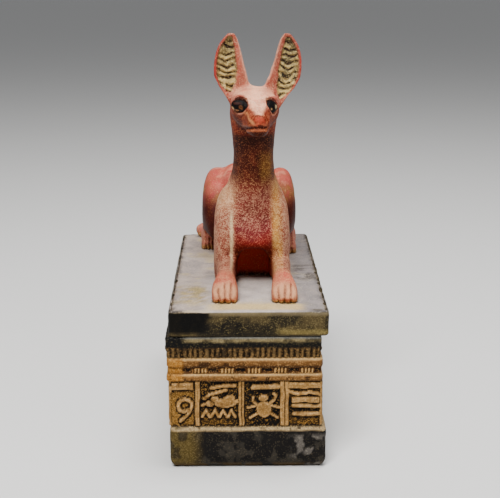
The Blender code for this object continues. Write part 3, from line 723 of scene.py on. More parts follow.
def limb(stations, across=(1, 0, 0), sides=32, per_span=8, squareness=2.0):
    """Rings of ovals square to the path: |x/w|^s + |y/d|^s = 1 with s the squareness."""
    rows = smooth_path(stations, per_span)
    centres = rows[:, :3]
    tangents = np.gradient(centres, axis=0)
    tangents /= np.linalg.norm(tangents, axis=1)[:, None]
    across = np.array(across, dtype=float)
    wide = across - tangents * (tangents @ across)[:, None]
    wide /= np.linalg.norm(wide, axis=1)[:, None]
    deep = np.cross(tangents, wide)
    angle = math.tau * np.arange(sides) / sides
    c = np.sign(np.cos(angle)) * np.abs(np.cos(angle)) ** (2 / squareness)
    s = np.sign(np.sin(angle)) * np.abs(np.sin(angle)) ** (2 / squareness)
    half = np.maximum(rows[:, 3:5], 0.2)
    return (centres[:, None] + wide[:, None] * (half[:, 0:1] * c)[:, :, None]
            + deep[:, None] * (half[:, 1:2] * s)[:, :, None])


def mirrored(stations, side):
    """The same stations on the left, -1, or the right, 1."""
    return [(side * row[0], *row[1:]) for row in stations]


def lying(x, y, top, half):
    """A station of a limb that lies on the slab and runs a little way into it."""
    return (x, y, (top - SUNK) / 2, half, (top + SUNK) / 2)


SUNK = 1.8
print("a limb has", limb([(0, 0, 0, 1, 1), (0, 0, 2, 1, 1)]).shape, "points")

# %% [markdown]
# # The jackal's stations
#
# These are the same stations as the solid's, in millimetres: x to the right, y to the back and z up
# from the slab. The head's stations are written as if it looked straight ahead, and are then turned a
# few degrees to the right and leant that way. The hindquarters lie a little left of the shoulders.

# %% Stations
JACKAL_PLACE = np.array((3.4, 0.0, SLAB_TOP))
TRUNK = [(0, -33, 28, 4, 5), (0, -31.4, 27, 11, 12), (0, -26, 26, 15.4, 18), (0, -17, 22.5, 17, 23.5),
         (0, -6, 21.5, 17.2, 23.6), (0, 8, 20, 16.2, 22.5), (0, 22, 19.5, 15.2, 22),
         (0, 36, 21, 15.0, 24), (0, 48, 21.5, 14.6, 24.3), (0, 58, 18.5, 13.5, 21),
         (0, 64, 14.5, 10.5, 16.5), (0, 67, 13, 5, 8)]
NECK = [(0, -11, 30, 14.5, 17), (0, -13.5, 39, 14.2, 17.2), (0, -17.2, 46, 12.6, 15),
        (0, -20.4, 51, 10.9, 13.2),
        (0, -23.5, 57, 10.0, 11.5), (0, -25.2, 64, 9.7, 11.2), (0, -26.6, 71, 10.0, 11.4),
        (0, -27.6, 78, 10.9, 11.6), (0, -28, 85, 11.1, 10.2), (0, -28, 89, 8.5, 7.5)]
HEAD = [(0, -13.5, 86.5, 2.5, 2.5), (0, -16, 87.1, 7.6, 6.0), (0, -22, 87.2, 10.2, 8.0),
        (0, -30, 86.8, 11.3, 8.4), (0, -37, 86.1, 11.2, 8.6), (0, -41, 85.0, 10.5, 8.6),
        (0, -44.5, 83.8, 8.7, 8.2), (0, -47.5, 82.6, 6.8, 7.5), (0, -52, 81.4, 5.6, 6.5),
        (0, -57, 80.8, 4.8, 5.3), (0, -59.6, 80.9, 3.4, 3.8), (0, -60.6, 81.0, 1.2, 1.5)]
UPPER_ARM = [(7.0, -10, 43.6, 4.0, 5.8), (9.7, -13.5, 39, 5.8, 10.2), (11.8, -17, 33, 5.6, 12.4),
             (12.8, -19, 26, 5.1, 12), (13.2, -19.5, 16, 4.9, 11.4), (13.3, -18.5, 7, 4.7, 10.5),
             (13.3, -18, 0.5, 4.4, 9.5)]
FORELEG = [lying(13.4, -2, 9, 2.4), lying(13.4, -5, 13.5, 4.4), lying(13.4, -14, 15, 4.9),
           lying(13.3, -25, 14.6, 4.9), lying(13.3, -34, 12.9, 4.6), lying(13.4, -42, 11.6, 4.6),
           lying(13.6, -49, 10.4, 5.3), lying(13.8, -55, 9.2, 6.0), lying(13.8, -60, 7.0, 6.1),
           lying(13.8, -63.3, 4.6, 5.2), lying(13.8, -64.8, 2.6, 3.4)]
THIGH = [(17.0, 20.5, 13.5, 1.8, 2.6), (17.3, 22.5, 14.5, 4.4, 6.4), (17.5, 27, 18.0, 6.8, 11.0),
         (17.5, 34, 21.5, 7.8, 17.2), (17.4, 42, 22.0, 8.1, 22.4), (17.2, 50, 20.6, 8.1, 22.4),
         (16.6, 57, 16.8, 7.4, 19.4), (15.6, 62.5, 12.4, 5.8, 15.0), (14.8, 66, 9, 2.4, 6)]
SHANK = [lying(21.2, 39, 9, 2.4), lying(21.4, 42, 13.4, 4.2), lying(21.8, 48, 13.4, 4.5),
         lying(22.2, 56, 11.4, 4.2), lying(22.4, 65, 9.8, 3.6), lying(22.4, 68.5, 6.8, 1.5)]
HIND_FOOT = [lying(21.4, 62, 5.8, 1.6), lying(21.4, 59, 9.0, 3.4), lying(21.4, 50, 10.6, 4.2),
             lying(21.4, 45, 10.4, 4.5), lying(21.4, 41, 8.2, 4.3), lying(21.4, 38.6, 5.0, 3.0)]
RUMP = [(-2.2, 24, 34, 3, 3), (-2.2, 27, 35, 10.5, 8.4), (-2.2, 36, 36, 13.4, 11), (-2.2, 47, 36, 13.6, 11.4),
        (-2.2, 56, 33, 11.5, 9.6), (-2.2, 60.5, 29, 4, 4)]
TAIL = [(0, 61, 26, 2.6, 2.6), (0, 67, 23, 2.9, 2.9), (0, 71.0, 15, 2.8, 2.8), (-1, 72.2, 7, 2.8, 3.2),
        (-5, 72.6, 2.6, 2.7, 3.6), (-12, 72.5, 2.4, 2.8, 3.8), (-21, 72.0, 2.8, 3.0, 4.6),
        (-25, 71.2, 3.2, 3.0, 5.0), (-28, 70.6, 3.0, 2.2, 3.8), (-29.4, 70.2, 2.6, 0.9, 1.6)]
EAR = [(6.6, -27.4, 84.5, 4.3), (7.7, -27.4, 88.3, 5.6), (8.6, -27.4, 91.9, 7.1), (9.7, -27.3, 94.6, 8.0),
       (11.0, -27.1, 97.0, 7.9), (12.3, -26.8, 99.3, 7.7), (13.2, -26.6, 102.9, 7.3),
       (13.8, -26.3, 106.6, 6.6), (14.1, -26.0, 110.3, 5.7), (14.1, -25.7, 113.9, 4.6),
       (13.7, -25.5, 117.2, 3.0), (13.4, -25.5, 119.6, 1.3)]
EAR_SHIFT = {-1: (0.85, 0.4), 1: (2.2, -1.6)}
EAR_UP = {-1: -0.2, 1: 1.1}
EAR_WIDENING = {-1: (0.98, 0.13), 1: (0.88, 0.24)}
EYE = (6.9, -44.6, 88.0)
EYE_SHIFT = -1.3
EYE_SIZE = (3.6, 2.4, 2.7)
BROW = [(2.6, -46.0, 90.0, 0.7, 0.8), (5.2, -44.6, 91.6, 1.2, 1.2), (8.4, -41.4, 91.4, 1.2, 1.2),
        (10.4, -37.8, 89.6, 0.7, 0.8)]
HEAD_PIVOT = np.array((0.0, -27.0, 80.0))
HEAD_SHIFT = np.array((-0.5, 0.0, 0.0))
HEAD_YAW = math.radians(4.5)
HEAD_ROLL = math.radians(3.5)
LEFT_ARM_OUT = 1.5
RIGHT_FOOT = (-0.5, -10.0, 0.0)
HIND_DRIFT = 1.3
DRIFT_START = -25
DRIFT_LENGTH = 42
TOES = 4
TOE_SPREAD = 2.95
TOE_SETBACK = 0.45
CHEST_HOLLOW = (8.3, 12.5, 18.6)


def turn_matrix(yaw, roll):
    """Lean by the roll about y, then turn by the yaw about z."""
    cz, sz, cy, sy = math.cos(yaw), math.sin(yaw), math.cos(roll), math.sin(roll)
    return np.array(((cz, -sz, 0), (sz, cz, 0), (0, 0, 1))) @ np.array(((cy, 0, sy), (0, 1, 0), (-sy, 0, cy)))


HEAD_TURN = turn_matrix(HEAD_YAW, HEAD_ROLL)


def head_place(points):
    """From the head's own straight frame to the jackal's."""
    return (points - HEAD_PIVOT) @ HEAD_TURN.T + HEAD_PIVOT + HEAD_SHIFT


def head_frame(points):
    """From the jackal's frame back to the head's own straight frame."""
    return (points - HEAD_PIVOT - HEAD_SHIFT) @ HEAD_TURN + HEAD_PIVOT


def body_place(points):
    """Slide the hindquarters to the left, more and more towards the back."""
    share = np.clip((points[..., 1] - DRIFT_START) / DRIFT_LENGTH, 0, 1)
    return points - share[..., None] * (HIND_DRIFT, 0, 0)


def foot_place(points):
    """The right hind foot lies further forward than the left one."""
    return body_place(points) + (points[..., :1] > 0) * np.array(RIGHT_FOOT)


def arm_place(points):
    """The left upper arm stands out a little further than the right one."""
    return points - (points[..., :1] < 0) * np.array((LEFT_ARM_OUT, 0, 0))


print("the head is turned", round(math.degrees(HEAD_YAW), 1), "degrees")

# %% [markdown]
# # Ears, toes and the skin round them all
#
# An ear is a tall leaf, round behind and hollowed in front, so its rings are drawn as a bow behind
# and a shallower bow in front. A toe is an egg. All these closed skins go into one mesh, and the
# remesh makes one skin of them.

# %% Ears and eggs
def ear_stations(side):
    """The ear's stations on one side, where each is moved and widened by its share of the height."""
    x, y, z, half = np.array(EAR).T
    share = (z - z[0]) / (z[-1] - z[0])
    shift = EAR_SHIFT[side][0] + EAR_SHIFT[side][1] * share
    widening = EAR_WIDENING[side][0] + EAR_WIDENING[side][1] * share
    return np.column_stack([side * x + shift, y, z + EAR_UP[side], half * widening])


def ear(side):
    """Rings up the ear: a round back, and a front that is sunk most in the middle."""
    rows = smooth_path(ear_stations(side), 8)
    a = np.linspace(1, -1, 17)
    x, y, z, half = (column[:, None] for column in rows.T)
    bow = np.sqrt(np.clip(1 - a ** 2, 0, 1))
    rear = np.stack([x + half * a, y + (0.30 * half + 1.5) * bow - 0.6, z + 0 * a], axis=-1)
    front = np.stack([x + half * a[::-1] * 0.94, y - 1.7 + 0.34 * half * (1 - a ** 2), z + 0 * a], axis=-1)
    return head_place(np.concatenate([rear, front], axis=1))


def egg(centre, half, rings=14, sides=20):
    """An ellipsoid as rings from its lowest point to its highest."""
    rise = np.linspace(-math.pi / 2 + 0.15, math.pi / 2 - 0.15, rings)[:, None]
    angle = (math.tau * np.arange(sides) / sides)[None]
    unit = np.stack([np.cos(rise) * np.cos(angle), np.cos(rise) * np.sin(angle),
                     np.sin(rise) + 0 * angle], axis=-1)
    return unit * half + centre


def toes(centre_x, tip_y, half, spread):
    """Four eggs across a paw's end, the middle ones foremost."""
    places = np.arange(TOES) - (TOES - 1) / 2
    place = foot_place if tip_y > 0 else np.array
    return [place(egg((centre_x + k * spread, tip_y + half[1] + TOE_SETBACK * k * k, half[2] - SUNK), half))
            for k in places]


def jackal_parts():
    """Every closed skin that the jackal is melted from."""
    parts = [body_place(limb(TRUNK, squareness=2.4, sides=40)), limb(NECK), body_place(limb(TAIL, (0, 1, 0))),
             body_place(limb(RUMP, squareness=2.6)), head_place(limb(HEAD, squareness=2.4, sides=40))]
    for side in (-1, 1):
        parts += [arm_place(limb(mirrored(UPPER_ARM, side))), limb(mirrored(FORELEG, side), squareness=2.3)]
        parts += [body_place(limb(mirrored(THIGH, side), squareness=2.5)),
                  body_place(limb(mirrored(SHANK, side)))]
        parts.append(foot_place(limb(mirrored(HIND_FOOT, side))))
        parts.append(ear(side))
        parts.append(head_place(egg((side * EYE[0] + EYE_SHIFT, EYE[1], EYE[2]), np.array(EYE_SIZE))))
        parts.append(head_place(limb(mirrored(BROW, side), sides=16)))
        parts += toes(side * FORELEG[-1][0], FORELEG[-1][1] - 1.0, np.array((1.7, 5.0, 3.9)), TOE_SPREAD)
        parts += toes(side * HIND_FOOT[-1][0], HIND_FOOT[-1][1] - 0.8, np.array((1.4, 3.8, 4.4)),
                      TOE_SPREAD * 0.75)
    return parts


parts = jackal_parts()
print("the jackal has", len(parts), "overlapping skins")

# %% [markdown]
# # Melting the skins into one
#
# A modifier works on an object, so the mesh goes into a helper object, the modifier is evaluated,
# and the finished mesh is taken back. The helper is then removed. The hollow under the breast is
# cut before the remesh, so its edges soften with the rest.

# %% Remesh
def applied(mesh, *steps):
    """The mesh after modifiers, each given as its type and a dictionary of its settings."""
    helper = bpy.data.objects.new("helper", mesh)
    bpy.context.scene.collection.objects.link(helper)
    for kind, settings in steps:
        modifier = helper.modifiers.new(kind.lower(), kind)
        for key, value in settings.items():
            setattr(modifier, key, value)
    bpy.context.view_layer.update()
    graph = bpy.context.evaluated_depsgraph_get()
    result = bpy.data.meshes.new_from_object(helper.evaluated_get(graph))
    bpy.data.objects.remove(helper, do_unlink=True)
    return result


def helper_object(mesh):
    """A mesh as an object that a Boolean modifier can use."""
    helper = bpy.data.objects.new("tool", mesh)
    bpy.context.scene.collection.objects.link(helper)
    return helper


def breast_hollow():
    """The rounded tunnel between the forelegs that ends under the breast."""
    half_x, depth, height = CHEST_HOLLOW
    front, back = TRUNK[0][1] - 12, TRUNK[0][1] + depth + 5
    return limb([(0, front, 0, half_x, height), (0, back - 5, 0, half_x, height),
                 (0, back - 1, 0, half_x * 0.9, height * 0.88), (0, back, 0, half_x * 0.6, height * 0.6)],
                squareness=2.8)


VOXEL = 0.45
SMOOTH_ROUNDS = 60
skin = applied(closed_skins("skins", parts), ("REMESH", {"mode": "VOXEL", "voxel_size": VOXEL * MM}))
hollow_tool = helper_object(closed_skins("hollow", [breast_hollow()]))
skin = applied(skin, ("BOOLEAN", {"operation": "DIFFERENCE", "object": hollow_tool, "solver": "MANIFOLD"}),
               ("REMESH", {"mode": "VOXEL", "voxel_size": VOXEL * MM}),
               ("SMOOTH", {"factor": 0.5, "iterations": 6}))
bpy.data.objects.remove(hollow_tool, do_unlink=True)


def relaxed(mesh, weight, rounds):
    """Points moved again and again towards the mean of their neighbours, by a weight from 0 to 1."""
    moved = coordinates(mesh)
    for _ in range(rounds):
        moved += weight[:, None] * (neighbour_mean(mesh, moved) - moved)
    put_points(mesh, moved)


skin_points = coordinates(skin)
straight = head_frame(skin_points)
shoulders = step_up(skin_points[:, 2], 13, 24) * step_down(skin_points[:, 2], 62, 70)
crown = 1 - step_up(distance_in(straight, (0.9, -27, 94.5), (9.5, 8, 5)), 0.6, 1.1)
niche = 1 - step_up(distance_in(skin_points, (0, -30, 15), (11, 9, 12)), 0.8, 1.15)
niche *= step_up(skin_points[:, 2], 3, 8)
jaw = bump(straight[:, 2], 75, 9) * step_up(straight[:, 1], -51, -45)
relaxed(skin, np.maximum.reduce([0.9 * shoulders, 0.8 * crown, niche, 0.95 * jaw]), SMOOTH_ROUNDS)
print("jackal skin", len(skin.polygons), "faces")

# %% [markdown]
# # Where a point of the skin is
#
# Carving and paint both ask where a point lies on the animal: how far up an ear, how near an eye, or
# whether it is on a paw. Those questions are answered once, as arrays of numbers from 0 to 1 that
# fade at their edges, from the point's place in the jackal's frame and in the head's own frame.

# %% Places on the animal
EAR_PITCH = 3.0
EAR_FOOT = {-1: 92.0, 1: 90.0}
EAR_PEAK = {-1: 118.2, 1: 119.3}
EYE_HALF = {-1: (4.9, 3.1), 1: (3.8, 3.1)}
EYE_MIDDLE = {-1: (-7.9, -45.2, 87.8), 1: (6.8, -46.9, 88.2)}
NOSE = (-0.2, -59.6, 82.6)


def ear_place(q, side):
    """Across an ear from -1, its inner edge, to 1, its outer edge, with its half width there."""
    rows = smooth_path(ear_stations(side), 8)
    middle = np.interp(q[:, 2], rows[:, 2], rows[:, 0])
    half = np.interp(q[:, 2], rows[:, 2], rows[:, 3])
    return side * (q[:, 0] - middle) / np.maximum(half, 0.5), half


def ear_inside(q, n, side):
    """The sunk leaf inside an ear: between its two rims, narrowing to a V at its foot."""
    w, _ = ear_place(q, side)
    rise, foot, peak = q[:, 2], EAR_FOOT[side], EAR_PEAK[side]
    outer = np.interp(rise, [foot, foot + 4.0, 103.0, peak - 6, peak], [0.62, 0.84, 0.77, 0.74, 0.45])
    inner = np.interp(rise, [foot, foot + 2.5, 97.5, 103.0, peak - 6, peak],
                      [0.42, 0.14, -0.20, -0.48, -0.50, -0.25])
    edge = 0.08
    inside = step_up(w, inner - edge, inner + edge) * step_down(w, outer - edge, outer + edge)
    inside *= step_up(rise, foot - 0.4, foot + 0.6) * step_down(rise, peak - 0.8, peak)
    return inside * step_up(-n[:, 1], -0.05, 0.25) * (side * q[:, 0] > 2)


def ear_rows(q, side):
    """Chevron rows in an ear: 1 on a pale ridge, 0 in a dark cut, lowest in the middle and broken."""
    w, half = ear_place(q, side)
    level = q[:, 2] + 1.3 * noise(q, 3.8, 71) - 0.45 * np.abs(w - 0.14) * half
    broken = 0.50 * noise(q, 1.3, 72) + 0.30 * noise(q, 0.7, 73)
    middle = bump(w, 0.16, 0.85)
    wave = (0.20 + 0.42 * middle) * np.cos(math.tau * level / EAR_PITCH)
    return np.clip(0.72 - 0.20 * middle + wave + broken, 0, 1)


def eye_place(q, side):
    """Along and up an eye, in half lengths, from its middle; the eye follows the tapering cheek."""
    along = np.array((side * 0.62, 0.785, -0.04))
    rel = q - EYE_MIDDLE[side]
    near = (np.linalg.norm(rel, axis=1) < 9) & (side * rel[:, 0] > -5)
    s = rel @ along / EYE_HALF[side][0]
    t = rel[:, 2] / EYE_HALF[side][1]
    return np.where(near, s, 9.0), np.where(near, t, 9.0)


def eye_round(q, side):
    """0 at the eye's middle and 1 at its almond rim, whose lower lid is flatter than the upper."""
    s, t = eye_place(q, side)
    lid = np.where(t > 0, 1.0, 0.92)
    return np.hypot(np.abs(s) ** 1.25, t / lid / np.sqrt(np.clip(1 - 0.45 * s * s, 0.3, 1)))


def mouth_line(q):
    """Height over the mouth's cut, which runs back and a little down along the muzzle."""
    return q[:, 2] - (79.9 + 0.13 * (-60.4 - q[:, 1]) + 0.08 * (q[:, 0] + 1.5))


def toe_grooves(p):
    """1 in the narrow grooves between the toes, which run back along the top of each paw."""
    total = np.zeros(len(p))
    for side in (-1, 1):
        fore = np.array((side * FORELEG[-1][0], FORELEG[-1][1], 0))
        hind = foot_place(np.array((side * HIND_FOOT[-1][0], HIND_FOOT[-1][1], 0.0)))
        for tip, spread in ((fore, TOE_SPREAD), (hind, TOE_SPREAD * 0.75)):
            back = p[:, 1] - tip[1]
            for k in (-1, 0, 1):
                reach = 4.2 + 1.6 * math.sin(5 * k + 2 * side + tip[0])
                bow = 0.05 * k * back + 0.5 * noise(p, 3.0, 91)
                lengthwise = step_up(back, -4, -1) * step_down(back, reach, reach + 3)
                total = np.maximum(total, bump(p[:, 0], tip[0] + k * spread + bow, 0.85) * lengthwise)
    return total * (p[:, 2] < 11)


print("an ear's leaf runs from", EAR_FOOT, "to", EAR_PEAK)

# %% [markdown]
# # Fine carving on the skin
#
# The last forms are too small for the solid: lids and eyeballs, the sunk leaf and chevrons of the
# ears, the mouth's cut, the nose, the toes' grooves and the tool's marks. Each moves the skin's
# points in or out along their normals by less than a millimetre.

# %% Carving by displacement
def carve(mesh):
    """Move the skin's points along their normals by the sum of the fine forms."""
    p = coordinates(mesh)
    q = head_frame(p)
    n = normals(mesh)
    m = n @ HEAD_TURN
    out = 0.16 * cloudy(p, 3.4, 81) + 0.14 * noise(p, 9.0, 82)
    on_head = step_up(q[:, 2], 74, 78)
    for side in (-1, 1):
        inside = ear_inside(q, m, side)
        out -= inside * (0.75 + 0.75 * (1 - ear_rows(q, side)))
        d = eye_round(q, side)
        ball = np.clip(1 - d, 0, 1)
        out += on_head * (0.55 * ball ** 0.6 - 0.75 * bump(d, 0.98, 0.22) + 0.55 * bump(d, 1.32, 0.26))
    front = step_up(-q[:, 1], 43, 47) * (q[:, 0] < 3.4)
    h = mouth_line(q)
    out -= 0.75 * bump(h, 0, 0.75) * front * (q[:, 2] < 84)
    out += 0.30 * bump(h, -1.5, 1.0) * front + 0.22 * bump(h, 1.4, 1.0) * front
    nose = distance_in(q, NOSE, (3.3, 3.2, 2.6))
    out += 0.75 * np.clip(1 - nose, 0, 1)
    for side in (-1, 1):
        nostril = distance_in(q, (NOSE[0] + side * 1.9, -60.0, 82.0), (1.1, 2.2, 0.9))
        out -= 0.7 * np.clip(1.2 - nostril, 0, 1)
        ridge = np.abs(q[:, 2] - np.interp(q[:, 1], [-60, -51.5], [82.0, 85.4]))
        out += 0.25 * step_down(ridge, 0, 0.9) * (side * (q[:, 0] + 0.4) > 1.6) * step_up(-q[:, 1], 50, 53)
    out -= 0.9 * toe_grooves(p)
    put_points(mesh, p + n * out[:, None])
    return float(np.abs(out).max())


deepest = carve(skin)
print("the deepest cut is", round(deepest, 2), "mm")

# %% [markdown]
# # Slab and jackal as one stone
#
# The jackal is carved on its slab, so the two become one closed mesh: the skin is thinned where it
# is smooth, moved to its place on the slab, and joined with a Boolean. Every value that the paint
# needs is worked out afterwards, on the joined mesh, from where its points are.

# %% Union
JACKAL_FACES = 128000

thin_ratio = min(1.0, JACKAL_FACES / (2 * len(skin.polygons)))
skin = applied(skin, ("DECIMATE", {"ratio": thin_ratio}))
put_points(skin, coordinates(skin) + JACKAL_PLACE)
skin_tool = helper_object(skin)
union = {"operation": "UNION", "object": skin_tool, "solver": "MANIFOLD"}
lid_mesh = shaded_smooth(applied(slab_mesh, ("BOOLEAN", union)))
bpy.data.objects.remove(skin_tool, do_unlink=True)
print("lid", len(lid_mesh.polygons), "faces")

# %% [markdown]
# # Paint
#
# The stone is painted and then rubbed with pale sand-coloured dust; shade in the hollows and some highlights
# and shadows are painted in too.
# Three values per point describe that: the paint's colour, the dust's colour and how much of the
# surface the dust's grains cover. A coat is laid over the paint so far by moving each colour towards
# the coat's, by an amount from 0 to 1 that fades at the coat's edges.

# %% Coats of paint
SATURATION = 1.10
DEPTH = 0.78


def linear(colour):
    """A screen colour of 0 to 255 as light: ((c + 0.055) / 1.055) ^ 2.4 with c from 0 to 1.

    The render's tone curve pales and greys colours, so they are made deeper and purer in advance.
    """
    share = np.asarray(colour, dtype=float) / 255
    light = DEPTH * np.where(share > 0.04045, ((share + 0.055) / 1.055) ** 2.4, share / 12.92)
    grey = light.mean()
    return np.clip(grey + SATURATION * (light - grey), 0.0015, 1)


class Coats:
    """The paint, the dust's colour and the dust's cover at every point of a mesh."""

    def __init__(self, count, paint, dust, cover):
        self.paint = np.tile(linear(paint), (count, 1))
        self.dust = np.tile(linear(dust), (count, 1))
        self.cover = np.full(count, float(cover))

    def lay(self, amount, paint=None, dust=None, cover=None):
        """Lay a coat: a new paint, a new dust, a new cover, or any of them together."""
        amount = np.clip(amount, 0, 1)
        if paint is not None:
            self.paint += amount[:, None] * (linear(paint) - self.paint)
        if dust is not None:
            self.dust += amount[:, None] * (linear(dust) - self.dust)
        if cover is not None:
            self.cover += amount * (cover - self.cover)

    def keep(self, mesh):
        """Store all three on the mesh."""
        keep_colour(mesh, "paint", self.paint)
        keep_colour(mesh, "dust", self.dust)
        keep_value(mesh, "cover", self.cover)


def band(value, low, high, soft=0.35):
    """1 between two limits, with soft edges."""
    return step_up(value, low - soft, low + soft) * step_down(value, high - soft, high + soft)


def patches(points, size, seed, share=0.5):
    """Cloudy patches that cover about the given share of a surface."""
    return step_up(cloudy(points, size, seed), 0.42 - share, 0.62 - share)


print("a mid grey is", np.round(linear((128, 128, 128)), 3))

# %% [markdown]
# # The chest's colours
#
# Each band has its own: a black base with an olive bloom on the left and grey scuffs on the right,
# gold-ochre figures on a black ground, cream strokes in the frieze, brown flutes, and an olive rim
# that turns black below. Light and shade are painted in as well: painted highlights on the figures'
# tops, along the base's and the ledges' upper edges and on the rim's worn top, a painted shadow
# under each ledge, and painted shade in the hollows.

# %% Painting the chest
def paint_chest(mesh, relief):
    """Coats for the chest, from each point's height, its relief and how hollow the place is."""
    p = coordinates(mesh)
    x, y, z = p.T
    # Hollow places get painted shade and raised places a painted highlight, found from how far each point lies
    # below or above its neighbours.
    sunk = step_up(hollowness(mesh, 3), 0.01, 0.10)
    proud_highlight = step_up(-hollowness(mesh, 3), 0.01, 0.10)
    high = step_up(relief, 0.30, 0.75)
    fine, wide = cloudy(p, 1.5, 201), cloudy(p, 6.0, 202)
    coats = Coats(len(p), (116, 100, 76), (200, 180, 140), 0.12)
    outside = (np.abs(x - drift(z)) > HALF_WIDTH - OUTER_DEPTH) | (np.abs(y) > HALF_LENGTH - OUTER_DEPTH)

    base = (z < BASE_TOP + 0.4) * outside
    coats.lay(base, (22, 20, 19), (78, 70, 56), 0.10)
    coats.lay(0.8 * base * patches(p, 4.0, 203, 0.40), (52, 48, 42), cover=0.20)
    left = base * step_down(x, -27, -19) * (0.35 + 0.65 * patches(p, 6.0, 204, 0.75))
    coats.lay(0.85 * left, (84, 70, 38), (124, 106, 66), 0.40)
    scuff = base * step_up(x, 17, 24) * patches(p, 4.0, 205, 0.42) * step_down(z, 15, 18)
    coats.lay(0.8 * scuff, (98, 92, 86), (132, 126, 116), 0.30)
    coats.lay(0.8 * base * step_down(z, 1.2, 3.6) * patches(p, 4.0, 206, 0.6), (74, 56, 28), cover=0.16)
    # A bright line along the top of the base block's bevel: a painted highlight.
    line = outside * band(z + 0.4 * wide, BASE_TOP - 1.1, BASE_TOP + 0.6, 0.35) * step_up(fine, -0.75, -0.1)
    coats.lay(0.85 * line, (176, 150, 112), (222, 196, 148), 0.36)

    field = outside * band(z, BASE_TOP + 0.7, FIELD_TOP - 0.1, 0.3)
    coats.lay(field, (62, 44, 22), (176, 130, 70), 0.26)
    coats.lay(field * patches(p, 5.0, 210, 0.5), (26, 21, 13), cover=0.22)
    beetle = band(x, 0, 17, 2.0) * (y < FRONT_LIMIT)
    coats.lay(field * beetle, (14, 12, 9), cover=0.10)
    first_panel = field * (y < FRONT_LIMIT) * step_down(x, -24.5, -22.5)
    coats.lay(0.85 * first_panel, (122, 88, 44), (190, 146, 88), 0.30)
    last_panel = field * (y < FRONT_LIMIT) * step_up(x, 18, 20) * step_up(z, BASE_TOP + 12, BASE_TOP + 14)
    coats.lay(0.8 * last_panel, (106, 72, 34), cover=0.26)
    coats.lay(field * high, (140, 104, 60), (184, 146, 98), 0.30)
    coats.lay(0.8 * field * high * patches(p, 3.0, 211, 0.3), (92, 62, 32), (168, 128, 80), 0.24)
    # The raised figures' tops lighter: a painted highlight.
    coats.lay(field * high * proud_highlight * step_up(fine, -0.6, 0.3), (178, 138, 88), (220, 180, 130), 0.32)
    # Darker in the field's hollows: painted shade.
    coats.lay(0.9 * field * sunk * (1 - 0.5 * high), (16, 12, 8), cover=0.08)

    for bottom, top, face in ((FIELD_TOP, FRIEZE_BOTTOM, (118, 82, 46)),
                              (FRIEZE_TOP, FLUTE_BOTTOM, (106, 72, 40))):
        ledge = outside * band(z, bottom, top, 0.3)
        coats.lay(ledge, face, (180, 138, 90), 0.20)
        coats.lay(ledge * patches(p, 3.0, 207, 0.36), (56, 34, 16), cover=0.10)
        # The foot of each ledge darker: a painted shadow on its underside.
        coats.lay(0.8 * ledge * step_down(z, bottom + 0.2, bottom + 1.2), (58, 38, 20), cover=0.08)
        # The upper edge of each ledge brighter: a painted highlight.
        edge = outside * band(z + 0.3 * wide, top - 1.35, top + 0.25, 0.3) * step_up(fine, -0.8, -0.25)
        coats.lay(0.7 * edge, (158, 118, 76), (196, 158, 112), 0.24)
        coats.lay(0.9 * edge * step_up(z, top - 1.0, top - 0.5), (206, 166, 112), (230, 196, 146), 0.3)

    frieze_band = outside * band(z, FRIEZE_BOTTOM, FRIEZE_TOP, 0.25)
    coats.lay(frieze_band, (76, 46, 22), (190, 140, 84), 0.14)
    coats.lay(frieze_band * step_up(relief, 0.18, 0.4), (186, 142, 88), (226, 190, 134), 0.34)
    coats.lay(frieze_band * step_up(-relief, 0.15, 0.4), (22, 16, 11), cover=0.04)
    worn = band(z, FIELD_TOP, FLUTE_BOTTOM, 0.4) * step_down(x, -30.5, -28.5) * (y < FRONT_LIMIT)
    coats.lay(0.8 * worn, (158, 106, 50), (212, 160, 92), 0.32)

    hollow_band = outside * band(z, FLUTE_BOTTOM + 0.2, FLUTE_TOP + 0.2, 0.3)
    coats.lay(hollow_band, (54, 40, 25), (160, 124, 80), 0.16)
    coats.lay(0.7 * hollow_band * step_up(relief, 0.25, 0.8), (104, 84, 56), cover=0.26)
    coats.lay(0.7 * hollow_band * step_up(relief, 0.7, 0.95) * step_up(fine, 0.05, 0.4), (152, 118, 76))
    coats.lay(0.75 * hollow_band * patches(p, 5.0, 208, 0.40), (34, 27, 19), cover=0.10)

    rim = outside * (z > FLUTE_TOP + 0.1)
    coats.lay(rim, (20, 18, 16), (92, 82, 54), 0.10)
    upper = rim * step_up(z + 0.8 * wide, CHEST_TOP - 3.0, CHEST_TOP - 1.8)
    coats.lay(upper * (0.3 + 0.7 * patches(p, 4.5, 209, 0.7)), (118, 104, 74), (156, 140, 104), 0.30)
    # A grey line along the rim's top: worn paint, and a painted highlight.
    coats.lay(0.8 * rim * step_up(z, CHEST_TOP - 1.1, CHEST_TOP - 0.5),
              (112, 114, 112), (150, 150, 140), 0.25)
    coats.lay(rim * step_down(x, -31, -26), (17, 16, 16), cover=0.05)
    # Painted shade in the hollows outside the figures.
    coats.lay(0.6 * outside * sunk * (1 - high), (14, 11, 8), cover=0.05)
    coats.keep(mesh)
    return coats


under_rows = 2
chest_relief = np.zeros(len(chest_mesh.vertices))
first = under_rows * len(plan)
chest_relief[first:first + relief_height.size] = relief_height.ravel()
chest_coats = paint_chest(chest_mesh, chest_relief)
print("the chest's dust covers", round(float(chest_coats.cover.mean()), 2), "on average")
